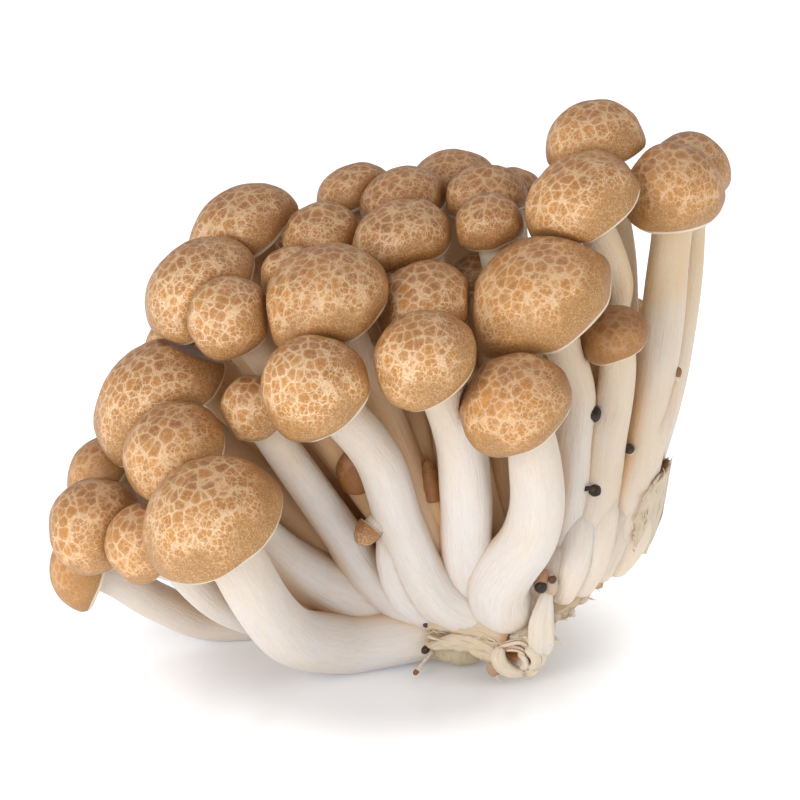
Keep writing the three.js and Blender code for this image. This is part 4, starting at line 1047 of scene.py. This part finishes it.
def shred_parts(seed, count, line, spread, heading, lean, length, width, core):
    """Many short torn strips: each starts at a seeded place along a line and runs along a heading that is leaned by a
    seeded amount, bending a little on its way."""
    draw = np.random.default_rng(seed)
    line = np.array(line, float)
    parts = []
    for i in range(count):
        place = draw.uniform(0, len(line) - 1.001)
        before = int(place)
        near = line[before] + (place % 1) * (line[before + 1] - line[before])
        start = near + draw.uniform(-1, 1, 3) * spread
        way = unit(np.array(heading, float) + draw.normal(size=3) * lean)
        reach = length * draw.uniform(0.5, 1.2)
        bend = draw.normal(size=3) * 0.16 * reach
        points = [start - way * 1.0, start + way * reach * 0.5 + bend, start + way * reach]
        wide = width * draw.uniform(0.5, 1.3)
        parts.append(strap_part(points, (wide, wide * 1.1, wide * 0.5, 0.1), 0.14, seed * 100 + i, 0.3, 10, core))
    return parts


# ---------------------------------------------------------------- pinheads and young mushrooms

def pin_part(key, seed):
    """A pin: a thin stalk that widens into a knob. The radius along it is a profile of the head's half width, and the
    knob's end is dimpled. The head's share of the length carries the dark colour."""
    start, end, head = PINS[key]
    start, end = np.array(start, float), np.array(end, float)
    axes = cap_axes(end - start)
    length, rows, count = np.linalg.norm(end - start), 34, 32
    neck = 1 - head / length
    knob = 1 - neck
    stations = np.array((0, 0.5 * neck, *(neck + part * knob for part in (0, 0.1, 0.3, 0.55, 0.8, 0.95)), 1.0))
    radii = np.array((0.8, 0.62, 1.16, 0.86, 1.0, 0.98, 0.84, 0.6, 0.32)) * (head / 2)
    share = np.linspace(0, 1, rows)
    lobed = 0.05 * ripple(on_circle(even_turns(count)) * 2, 2.0, seed)
    rings = off_table(turned(start, axes, share * length, np.interp(share, stations, radii), count,
                             np.repeat(lobed[None], rows, 0)))
    dark = smooth(neck + 0.02 * knob, neck + 0.14 * knob, share) * PIN_TONE.get(key, 1)
    return upward_part(rings, end - axes[0] * 0.12 * head, start, grain=rings / 1000, head=all_round(dark, count))


def young_parts(key, seed):
    """A young mushroom in the shade: a slim stem along a line, and a cap that is an ellipsoid set on its end.
    Both are darkened by painted shade: the stem by its fixed crease and shut values, the cap partly by its high
    brown value.
    """
    foot, at, across, tall, nod = YOUNG[key]
    axes = cap_axes(nod)
    axis, at, half = axes[0], np.array(at, float), across / 2
    line, along = bezier_line([foot, (np.array(foot) + at) / 2 + (0.8, -0.8, 0), at - axis * 0.2], 1.5, axis)
    side, other, _ = carried_frames(line)
    share = all_round(along / along[-1], 24)
    radius = np.interp(share[:, 0], (0, 0.3, 1), (0.62, 0.55, 0.42)) * across
    rings = ring_points(line, side, other, radius, 24)
    # the young stem's fixed crease and shut values paint shade over it
    stem = upward_part(rings, line[-1], line[0], straight=rings / 1000, share=share,
                       crease=np.full(share.shape, 0.25), shut=np.full(share.shape, 0.6))
    reach = np.linspace(0, 1, 26)[1:]
    fall = np.linspace(0, math.radians(118), 26)[1:]
    height = half * np.where(fall < np.pi / 2, tall, 0.6) * np.cos(fall)
    grid = (len(reach), 40)
    uneven = 0.03 * ripple(on_x(height), 2, seed)[:, None] + np.zeros(grid)
    rings = turned(at, axes, height, half * np.sin(fall), 40, uneven)
    # the cap's high brown value is partly its own darker colour and partly painted shade
    cap = skin_part(rings, at + axis * half * tall, at + axis * height[-1], reach=all_round(0.35 + 0.6 * reach, 40),
                    brown=np.full(grid, 0.85), contrast=np.full(grid, 0.2))
    return stem, cap


# ---------------------------------------------------------------- node work

class Wiring:
    """Adds nodes to one tree and joins them."""

    def __init__(self, tree):
        self.tree = tree

    def add(self, kind, inputs=None, **settings):
        node = self.tree.nodes.new(kind)
        for key, value in settings.items():
            setattr(node, key, value)
        for key, value in (inputs or {}).items():
            self.put(node.inputs[key], value)
        return node

    def put(self, socket, value):
        if isinstance(value, bpy.types.NodeSocket):
            self.tree.links.new(value, socket)
        else:
            socket.default_value = value

    def calc(self, operation, a, b, clamp=False):
        return self.add("ShaderNodeMath", {0: a, 1: b}, operation=operation, use_clamp=clamp).outputs[0]

    def times(self, a, b, clamp=False):
        return self.calc("MULTIPLY", a, b, clamp)

    def plus(self, a, b, clamp=False):
        return self.calc("ADD", a, b, clamp)

    def step(self, value, low, high, to_low=0.0, to_high=1.0):
        """A smooth step from one value to another over a range."""
        return self.add("ShaderNodeMapRange", {"Value": value, "From Min": low, "From Max": high, "To Min": to_low,
                        "To Max": to_high}, interpolation_type="SMOOTHSTEP").outputs["Result"]

    def mix(self, share, a, b):
        return self.add("ShaderNodeMix", {0: share, 6: solid(a), 7: solid(b)}, data_type="RGBA",
                        clamp_factor=True).outputs[2]

    def laid_over(self, skin, *layers):
        """Colours laid over a skin in turn, each by a mask that rises from 0 to its most over a range."""
        for mask, low, high, most, colour in layers:
            skin = self.mix(self.step(mask, low, high, 0.0, most), skin, colour)
        return skin

    def noise(self, vector, scale, detail=2.0, roughness=0.5):
        return self.add("ShaderNodeTexNoise", {"Vector": vector, "Scale": scale, "Detail": detail,
                        "Roughness": roughness}).outputs

    def grains(self, vector, scale, detail=2.0, roughness=0.5, stretch=None):
        """The noise's value, over coordinates stretched by a factor for each axis where they are given."""
        if stretch:
            vector = self.add("ShaderNodeMapping", {"Vector": vector, "Scale": stretch}).outputs[0]
        return self.noise(vector, scale, detail, roughness)["Fac"]

    def voronoi(self, vector, scale, feature):
        return self.add("ShaderNodeTexVoronoi", {"Vector": vector, "Scale": scale, "Randomness": 0.95},
                        feature=feature).outputs

    def place(self):
        return self.add("ShaderNodeTexCoord").outputs["Object"]

    def value_of(self, attribute):
        return self.add("ShaderNodeAttribute", attribute_name=attribute).outputs["Fac"]

    def vector_of(self, attribute):
        return self.add("ShaderNodeAttribute", attribute_name=attribute).outputs["Vector"]

    def shifted(self, vector, by, amount):
        """A vector moved by a noise colour less a half, times an amount."""
        off = self.add("ShaderNodeVectorMath", {0: by, 1: (0.5, 0.5, 0.5)}, operation="SUBTRACT").outputs[0]
        small = self.add("ShaderNodeVectorMath", {0: off, "Scale": amount}, operation="SCALE").outputs[0]
        return self.add("ShaderNodeVectorMath", {0: vector, 1: small}, operation="ADD").outputs[0]

    def finish(self, skin, roughness, height, strength, distance, subsurface=None):
        """The shader with its colour, roughness and bump, joined to the material's output. Subsurface holds the
        weight, the scale, and the radius of each colour."""
        bump = self.add("ShaderNodeBump", {"Height": height, "Strength": strength, "Distance": distance})
        inputs = {"Base Color": skin, "Roughness": roughness, "Normal": bump.outputs[0]}
        if subsurface:
            inputs.update(zip(("Subsurface Weight", "Subsurface Scale", "Subsurface Radius"), subsurface))
        shader = self.add("ShaderNodeBsdfPrincipled", inputs)
        self.add("ShaderNodeOutputMaterial", {"Surface": shader.outputs[0]})


def solid(colour):
    """A socket as it is, or a colour of three numbers with full opacity."""
    return colour if isinstance(colour, bpy.types.NodeSocket) else (*colour, 1)


def new_group(name, inputs, outputs):
    """An empty node group with its sockets, and the two nodes that stand for them."""
    group = bpy.data.node_groups.new(name, "ShaderNodeTree")
    for title, default in inputs.items():
        socket = group.interface.new_socket(name=title, in_out="INPUT", socket_type="NodeSocketFloat")
        socket.default_value = default
    for title in outputs:
        group.interface.new_socket(name=title, in_out="OUTPUT", socket_type="NodeSocketFloat")
    wires = Wiring(group)
    return group, wires, wires.add("NodeGroupInput").outputs, wires.add("NodeGroupOutput").inputs


MARBLING = ("Net", "Tone", "Rim", "Mottle", "Zone")


def marbling_group():
    """The marbled skin: rounded plates parted by a thin, ragged pale net, coarse at the apex and fine at the margin,
    over warped object coordinates. The net is where the distance to a cell's edge, plus a share of how near its
    middle is, is small, which widens its knots. Puts out the pale net, each plate's own tone, how near a plate's rim
    is, a fine mottle and the zone."""
    if "marbling" in bpy.data.node_groups:
        return bpy.data.node_groups["marbling"]
    group, w, given, out = new_group("marbling", {"Reach": 0.5, "Plate Size": 0.0023}, MARBLING)
    place = w.place()
    size = w.calc("DIVIDE", 1.0, given["Plate Size"])
    bent = w.shifted(place, w.noise(place, 330)["Color"], 0.00085)
    bent = w.shifted(bent, w.noise(place, 1500, 2, 0.6)["Color"], 0.00036)
    width = w.step(w.grains(place, 320), 0.32, 0.68, 0.6, 1.35)
    zone = w.plus(given["Reach"], w.step(w.grains(place, 150), 0.25, 0.75, -0.17, 0.17))
    nets, tones, edges = [], [], []
    for scale, knots, thick in ((1.0, 0.26, w.step(zone, 0.3, 0.66, 0.072, 0.028)),
                                (2.1, 0.24, w.step(zone, 0.2, 0.5, 0.05, 0.1))):
        cells = w.times(size, scale)
        edge = w.voronoi(bent, cells, "DISTANCE_TO_EDGE")["Distance"]
        middle = w.voronoi(bent, cells, "F1")
        edges.append(w.plus(edge, w.times(w.calc("SUBTRACT", 0.45, middle["Distance"]), knots)))
        nets.append(w.step(edges[-1], 0.0, w.times(width, thick), 1.0, 0.0))
        tones.append(middle["Color"])
    coarse = w.times(nets[0], w.step(zone, 0.52, 0.7, 1.0, 0.0))
    fine = w.times(nets[1], w.times(w.step(zone, 0.15, 0.48, 0.3, 0.8), w.step(zone, 0.56, 0.82, 1.0, 0.1)))
    flecks = w.times(w.step(w.grains(bent, 3000, 2, 0.6), 0.48, 0.6), w.step(zone, 0.3, 0.75, 0.10, 0.44))
    net = w.calc("MAXIMUM", w.calc("MAXIMUM", coarse, fine), flecks)
    grit = w.grains(place, 2700, 3, 0.7)
    net = w.times(net, w.step(grit, 0.36, 0.6, 0.42, 1.15), clamp=True)
    tone = w.mix(w.step(zone, 0.4, 0.7), *tones)
    rim = w.times(w.step(edges[0], 0.3, 0.08), w.step(zone, 0.40, 0.66, 1.0, 0.0))
    for title, value in zip(MARBLING, (net, tone, rim, grit, zone)):
        w.put(out[title], value)
    return group


# ---------------------------------------------------------------- materials

def wire_cap(w, scene, plate_share):
    """Marbled cap skin: golden plates, each of its own tone and paler at its rim, darkened by the brown value and
    blended towards the margin's tan, with the pale net over them and a cream rim. The brown value is the crown's
    pigment with painted shade on the side that faces up, and it also darkens the net and the margin. Painted shade
    turns the skin browner where it turns away from the eye."""
    caps = scene.bunch_caps
    reach, brown, contrast = map(w.value_of, ("reach", "brown", "contrast"))
    marble = w.add("ShaderNodeGroup", {"Reach": reach, "Plate Size": caps.plate_size * plate_share},
                   node_tree=marbling_group())
    net, tone, rim, mottle, zone = (marble.outputs[title] for title in MARBLING)
    plate = w.mix(w.plus(brown, w.step(tone, 0.0, 1.0, -0.2, 0.22), clamp=True), caps.plate, caps.plate_dark)
    plate = w.mix(w.times(rim, 0.12), plate, caps.net)
    skin = w.laid_over(plate, (zone, 0.4, 0.9, 0.85, w.mix(brown, caps.margin, caps.plate_dark)),
                       (mottle, 0.40, 0.68, 0.22, (0.36, 0.16, 0.04)))
    skin = w.mix(w.times(net, contrast, clamp=True), skin, w.mix(w.times(brown, 0.62), caps.net, caps.margin))
    # painted shade: the skin darkens towards the dark plate colour where it turns away from the eye
    facing = w.add("ShaderNodeLayerWeight", {"Blend": 0.5}).outputs["Facing"]
    skin = w.laid_over(skin, (facing, 0.5, 0.95, 0.5, caps.plate_dark), (reach, 0.968, 1.0, 1.0, (0.82, 0.70, 0.53)))
    w.finish(skin, w.step(mottle, 0.3, 0.7, 0.36, 0.52), w.plus(w.times(net, 0.6), w.times(mottle, 0.8)),
             0.5, 0.00014, (0.12, 0.0010, (1.0, 0.45, 0.2)))


def wire_stem(w, scene):
    """Satin flesh: near white with fine lengthwise fibres read from the stem's straight coordinates and faint warm
    patches. A warm tone lies on the right, and towards the necks of the tall stems, where it is painted warm shade
    under the caps. Painted shade, tan that deepens to umber, lies in creases and where other stems shut the flesh
    in, and straw shows near the foot."""
    straight = w.vector_of("straight")
    share, crease, shut = map(w.value_of, ("share", "crease", "shut"))
    fibre = w.grains(straight, 1.0, 4, 0.65, stretch=(2300, 2300, 190))
    strand = w.grains(straight, 1.0, 3, 0.55, stretch=(420, 420, 18))
    patch = w.grains(straight, 1.0, 3, stretch=(110, 110, 50))
    grain = w.grains(straight, 2200, 3, 0.7)
    where = w.add("ShaderNodeSeparateXYZ", {0: w.place()}).outputs
    # a warm tone higher up the tall stems, painted warm shade under the caps, and a warm tone on the right
    warm = w.times(w.step(share, 0.4, 1.0, 0.0, 0.95), w.step(where["Z"], 0.035, 0.085, 0.35, 1.0))
    warm = w.plus(warm, w.step(where["X"], 0.024, 0.046, 0.0, 0.42), clamp=True)
    skin = w.laid_over(scene.bunch_stems.flesh, (patch, 0.45, 0.75, 0.4, (0.83, 0.70, 0.54)))
    skin = w.mix(w.times(warm, w.step(patch, 0.3, 0.6, 0.6, 1.0)), skin, (0.83, 0.63, 0.40))
    # painted shade: tan in creases, and tan deepening to umber where other stems shut the flesh in
    skin = w.laid_over(skin, (strand, 0.4, 0.7, 0.14, (0.74, 0.62, 0.48)),
                       (fibre, 0.45, 0.66, 0.24, (0.70, 0.57, 0.44)), (crease, 0.5, 1.0, 0.5, (0.64, 0.45, 0.29)),
                       (shut, 0.10, 0.50, 0.92, scene.bunch_stems.tan), (shut, 0.7, 1.0, 0.4, (0.50, 0.23, 0.08)),
                       (share, 0.13, 0.01, 0.45, scene.bunch_base.straw))
    height = w.plus(w.plus(w.times(fibre, 0.8), w.times(strand, 0.9)),
                    w.times(grain, w.step(share, 0.4, 0.95, 0.25, 0.9)))
    w.finish(skin, w.step(grain, 0.3, 0.7, 0.44, 0.6), height, 0.7, 0.0005, (0.25, 0.0016, (1.0, 0.55, 0.3)))


def wire_gills(w, _):
    """Gills: cream at the blades' edges, and painted shade, a warm tan, deep between them."""
    place = w.place()
    patch = w.grains(place, 260, 3)
    skin = w.laid_over((0.52, 0.36, 0.22), (w.value_of("fold"), 0.05, 0.7, 1.0, (0.86, 0.77, 0.64)),
                       (patch, 0.4, 0.7, 0.3, (0.70, 0.54, 0.37)))
    w.finish(skin, w.step(patch, 0.3, 0.7, 0.5, 0.62), w.grains(place, 2400, 3), 0.35, 0.0001,
             (0.25, 0.0012, (1.0, 0.6, 0.35)))


def wire_base(w, scene, straw_share, olive_shade):
    """Base flesh: cream to straw in stretched streaks, drier and more fibrous where torn, a greenish painted shade,
    strongest on the heels under the bunch, brown bits in spots, and brown towards the core."""
    grain, torn, core = w.vector_of("grain"), w.value_of("torn"), w.value_of("core")
    streak = w.grains(grain, 1.0, 5, 0.66, stretch=(1300, 1300, 150))
    grit = w.grains(grain, 2100, 3, 0.7)
    dry = w.plus(w.times(torn, straw_share), w.step(w.grains(grain, 230, 3), 0.4, 0.7, 0.0, 0.45), clamp=True)
    skin = w.mix(dry, scene.bunch_stems.flesh, scene.bunch_base.straw)
    skin = w.laid_over(skin, (streak, 0.38, 0.62, 0.5, (0.87, 0.79, 0.67)))
    skin = w.mix(w.times(w.step(streak, 0.50, 0.66, 0.0, 0.85), torn), skin, (0.58, 0.36, 0.18))
    # painted shade: a greenish cast over the flesh, strongest on the heels under the bunch
    skin = w.mix(olive_shade, skin, (0.42, 0.335, 0.165))
    spots = w.times(w.step(w.grains(grain, 620, 3, 0.6), 0.67, 0.73), torn)
    skin = w.mix(w.times(spots, 0.8), skin, (0.22, 0.10, 0.04))
    skin = w.mix(core, skin, scene.bunch_base.core)
    w.finish(skin, w.step(grit, 0.3, 0.7, 0.55, 0.72), w.plus(w.times(streak, 1.2), w.times(grit, 0.5)),
             0.7, 0.00035, (0.2, 0.0018, (1.0, 0.6, 0.35)))


def wire_pin(w, scene):
    """Pins: a cream stalk and a head of dark brown flecks on umber, or a plain brown head where it is paler."""
    head = w.value_of("head")
    fleck = w.grains(w.vector_of("grain"), 1700, 3, 0.7)
    stalk = w.laid_over(scene.bunch_stems.flesh, (fleck, 0.3, 0.7, 0.7, (0.60, 0.38, 0.19)))
    knob = w.laid_over((0.014, 0.009, 0.007), (fleck, 0.42, 0.7, 1.0, (0.10, 0.055, 0.026)))
    skin = w.laid_over(stalk, (head, 0.0, 0.5, 1.0, (0.33, 0.15, 0.06)), (head, 0.6, 1.0, 1.0, knob))
    w.finish(skin, w.step(fleck, 0.3, 0.7, 0.5, 0.8), fleck, 0.6, 0.0002)


# how each material is wired, and with which numbers: for a cap's skin the plates' size against the
# usual, for base flesh how much of what is torn is dry and how strong its greenish painted shade is
FINISHES = {
    "marbled_skin": (wire_cap, 1.0), "speckled_skin": (wire_cap, 0.36), "gill_flesh": (wire_gills,),
    "satin_flesh": (wire_stem,), "base_flesh": (wire_base, 0.4, 0.62), "torn_flesh": (wire_base, 0.9, 0.14),
    "pin_flesh": (wire_pin,),
}


def finished(name):
    """The named material, made the first time that it is asked for."""
    if name not in bpy.data.materials:
        wire, *given = FINISHES[name]
        material = bpy.data.materials.new(name)
        material.use_nodes = True
        material.node_tree.nodes.clear()
        wire(Wiring(material.node_tree), bpy.context.scene, *given)
    return bpy.data.materials[name]


# ---------------------------------------------------------------- the stage

def add_floor(scene):
    """A pale floor that glows, though it is no lamp. It glows a little more with the distance from its middle, which
    keeps the ground white around the bunch and lets its shade show under it; the dimmer glow near its middle is a
    painted soft shadow."""
    mesh = bpy.data.meshes.new("floor")
    mesh.from_pydata([(-4, -4, 0), (4, -4, 0), (4, 4, 0), (-4, 4, 0)], [], [(0, 1, 2, 3)])
    floor = bpy.data.objects.new("floor", mesh)
    scene.collection.objects.link(floor)
    material = bpy.data.materials.new("pale_floor")
    material.use_nodes = True
    w = Wiring(material.node_tree)
    away = w.add("ShaderNodeVectorMath", {0: w.place()}, operation="LENGTH").outputs["Value"]
    # the glow: dim near the middle, a painted soft shadow under the bunch, and bright further out
    glow = w.laid_over((0.10, 0.105, 0.115), (away, 0.031, 0.06, 1.0, (0.5, 0.505, 0.52)),
                       (away, 0.12, 0.9, 1.0, (0.6, 0.6, 0.6)))
    shader = material.node_tree.nodes["Principled BSDF"]
    for title, value in (("Base Color", (0.91, 0.925, 0.95, 1)), ("Roughness", 0.18), ("Specular IOR Level", 0.4),
                         ("Emission Color", glow), ("Emission Strength", 1.0)):
        w.put(shader.inputs[title], value)
    mesh.materials.append(material)
    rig.stage(floor)


def add_lights(scene, key):
    """The pale sky and the soft square lamps, each turned to the bunch's middle."""
    world = bpy.data.worlds.new("studio")
    world.use_nodes = True
    sky = world.node_tree.nodes["Background"].inputs
    sky["Color"].default_value, sky["Strength"].default_value = SKY
    scene.world = world
    for name, (place, size, power, colour) in LAMPS.items():
        light = bpy.data.lights.new(name, "AREA")
        light.shape = "SQUARE"
        light.size = size
        light.energy = power or key
        light.color = colour
        lamp = bpy.data.objects.new(name, light)
        scene.collection.objects.link(lamp)
        lamp.location = place
        lamp.rotation_euler = (Vector(LIT_POINT) - Vector(place)).to_track_quat("-Z", "Y").to_euler()


def add_camera(scene, settings):
    """A long lens in front of the bunch, raised by the elevation and aimed down at its middle."""
    lens = bpy.data.cameras.new("camera")
    lens.lens, lens.sensor_width = 140, 36
    lens.clip_start, lens.clip_end = 0.01, 20
    camera = bpy.data.objects.new("camera", lens)
    scene.collection.objects.link(camera)
    back = Vector((0, -math.cos(settings.elevation), math.sin(settings.elevation)))
    camera.location = Vector(AIM) + back * settings.distance
    camera.rotation_euler = (-back).to_track_quat("-Z", "Y").to_euler()
    scene.camera = camera


# ---------------------------------------------------------------- operators

class MUSHROOM_OT_stage(bpy.types.Operator):
    """Set the pale floor, the soft lights, and the camera"""
    bl_idname = "mushroom.stage"
    bl_label = "Stage"

    def execute(self, context):
        settings = context.scene.bunch_stage
        add_floor(context.scene)
        add_lights(context.scene, settings.key)
        add_camera(context.scene, settings)
        context.scene.view_settings.view_transform = "Standard"
        return {"FINISHED"}


class MUSHROOM_OT_caps(bpy.types.Operator):
    """Make the marbled caps with their gills"""
    bl_idname = "mushroom.caps"
    bl_label = "Caps and gills"

    def execute(self, context):
        settings = context.scene.bunch_caps
        for number, name in enumerate(n for n in BUNCH if n.startswith("cap_")):
            brown, contrast = CAP_LOOKS.get(name, USUAL_LOOK)
            skin = cap_skin(name, SEED["caps"] + number, settings, finished("marbled_skin"), brown, contrast)
            settle(skin, "cap_skin", name)
            settle(cap_gills(name, settings, finished("gill_flesh")), "stem_flesh", name)
        return {"FINISHED"}


class MUSHROOM_OT_stems(bpy.types.Operator):
    """Make the satin stems"""
    bl_idname = "mushroom.stems"
    bl_label = "Stems"

    def execute(self, context):
        settings = context.scene.bunch_stems
        tubes = {name: stem_tube(name, SEED["stems"] + i, settings) for i, name in enumerate(BUNCH)}
        for name in BUNCH:
            title = "stem_button" if name == "button_cap" else name.replace("cap", "stem")
            settle_flesh(title, [stem_part(name, tubes)], "satin_flesh")
        shaded = [foot_part(*row, SEED["shaded"] + i) for i, row in enumerate(SHADED)]
        # the stems in the shade take more painted shade than their place gives them
        for part in shaded:
            part["values"]["shut"] = part["values"]["shut"] + SHADED_MORE
        settle_flesh("stems_in_the_shade", shaded, "satin_flesh")
        return {"FINISHED"}


class MUSHROOM_OT_base(bpy.types.Operator):
    """Make the base that the stems grow from, its two heels and the cut root"""
    bl_idname = "mushroom.base"
    bl_label = "Base and root"

    def execute(self, context):
        height = context.scene.bunch_base.lumps * 1000
        settle_flesh("base_pad", [lump_part(PAD, SEED["pad"], height, 90, 160, 0.1)], "torn_flesh")
        heels = [lump_part(heel, SEED["heels"] + i, height * 0.35) for i, heel in enumerate(HEELS)]
        settle_flesh("base_heels", heels, "base_flesh")
        folds = [fold_part([rosette_point(p) for p in points], widths, SEED["folds"] + i, 0.5, core)
                 for i, (points, widths, core) in enumerate(ROSETTE)]
        settle_flesh("cut_root", [root_part(), *folds, fold_part(*STUB, SEED["stub"], 0.2, 0.0, 2.0)], "torn_flesh")
        feet = [foot_part(*foot, SEED["feet"] + i) for i, foot in enumerate((*FEET, PIN_STEM))]
        feet[-1]["values"]["crease"] = feet[-1]["values"]["crease"] + 0.8
        settle_flesh("swollen_feet", feet, "satin_flesh")
        return {"FINISHED"}


class MUSHROOM_OT_shreds(bpy.types.Operator):
    """Make the torn strips and fibres round the root and along the base"""
    bl_idname = "mushroom.shreds"
    bl_label = "Torn layers"

    def execute(self, context):
        strips = [sheet_part(sheet, SEED["strips"] + 9 * i) for i, sheet in enumerate((*STRIPS, FRINGE))]
        strips += [lump_part(crumb, SEED["crumbs"] + i, 0.55, 24, 48, 0.2) for i, crumb in enumerate(CRUMBS)]
        for shreds in SHREDS:
            strips += shred_parts(*shreds)
        strips += [lump_part(lump, SEED["stains"] + i, 0.5, *given) for i, (lump, *given) in enumerate(STAINS)]
        settle_flesh("torn_strips", strips, "torn_flesh")
        skirt = [sheet_part(sheet, SEED["skirt"] + 9 * i) for i, sheet in enumerate(SKIRT)]
        settle_flesh("papery_skirt", skirt + shred_parts(*SKIRT_SHREDS), "torn_flesh")
        return {"FINISHED"}


class MUSHROOM_OT_pins(bpy.types.Operator):
    """Make the dark pinheads"""
    bl_idname = "mushroom.pins"
    bl_label = "Pinheads"

    def execute(self, context):
        for i, key in enumerate(PINS):
            parts = [pin_part(key, SEED["pins"] + i)]
            if key == "pin_curled":
                tail = strap_part(PIN_TAIL, (1.0, 0.8, 0.9), 0.4, SEED["tail"], 0.1)
                tail["values"] = {"grain": tail["values"]["grain"], "head": np.ones(tail["rings"].shape[:2])}
                parts.append(tail)
            settle_flesh(key, parts, "pin_flesh")
        return {"FINISHED"}


class MUSHROOM_OT_young(bpy.types.Operator):
    """Make the baby mushroom in front and the young ones in the shade"""
    bl_idname = "mushroom.young"
    bl_label = "Young mushrooms"

    def execute(self, context):
        baby = cap_skin("button_cap", SEED["button"], context.scene.bunch_caps, finished("speckled_skin"), 0.72, 1.0)
        settle(baby, "button_skin", "button_cap")
        for i, key in enumerate(YOUNG):
            stem, cap = young_parts(key, SEED["young"] + i)
            settle_flesh(key + "_stem", [stem], "satin_flesh")
            settle(joined_skins(key + "_cap", [cap], finished("marbled_skin")), "button_skin", "stem_clump")
        return {"FINISHED"}


class MUSHROOM_PT_bunch(bpy.types.Panel):
    """The bunch's pieces and their settings"""
    bl_idname = "MUSHROOM_PT_bunch"
    bl_label = "Beech mushroom bunch"
    bl_space_type = "VIEW_3D"
    bl_region_type = "UI"
    bl_category = "Mushrooms"

    def draw(self, context):
        for operator in OPERATORS:
            box = self.layout.box()
            box.operator(operator.bl_idname)
            settings = getattr(context.scene, operator.bl_idname.replace("mushroom.", "bunch_"), None)
            for key in (settings.bl_rna.properties.keys() if settings else ()):
                if key not in ("rna_type", "name"):
                    box.prop(settings, key)


SETTINGS = {"bunch_caps": CapSettings, "bunch_stems": StemSettings, "bunch_base": BaseSettings,
            "bunch_stage": StageSettings}
OPERATORS = (MUSHROOM_OT_stage, MUSHROOM_OT_caps, MUSHROOM_OT_stems, MUSHROOM_OT_base, MUSHROOM_OT_shreds,
             MUSHROOM_OT_pins, MUSHROOM_OT_young)


def register():
    for name, settings in SETTINGS.items():
        bpy.utils.register_class(settings)
        setattr(bpy.types.Scene, name, PointerProperty(type=settings))
    for kind in (*OPERATORS, MUSHROOM_PT_bunch):
        bpy.utils.register_class(kind)


def unregister():
    for kind in reversed((*OPERATORS, MUSHROOM_PT_bunch)):
        bpy.utils.unregister_class(kind)
    for name, settings in reversed(SETTINGS.items()):
        delattr(bpy.types.Scene, name)
        bpy.utils.unregister_class(settings)


def main():
    """Registers the classes, makes every piece in order, and writes the two boxes."""
    register()
    for operator in OPERATORS:
        getattr(bpy.ops.mushroom, operator.bl_idname.split(".")[1])()
    boxes = {"cad": [list(corner) for corner in CAD_BOX], "visual": [list(corner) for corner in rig.bounds()]}
    with open("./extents.json", "w") as file:
        json.dump(boxes, file)


if __name__ == "__main__":
    main()
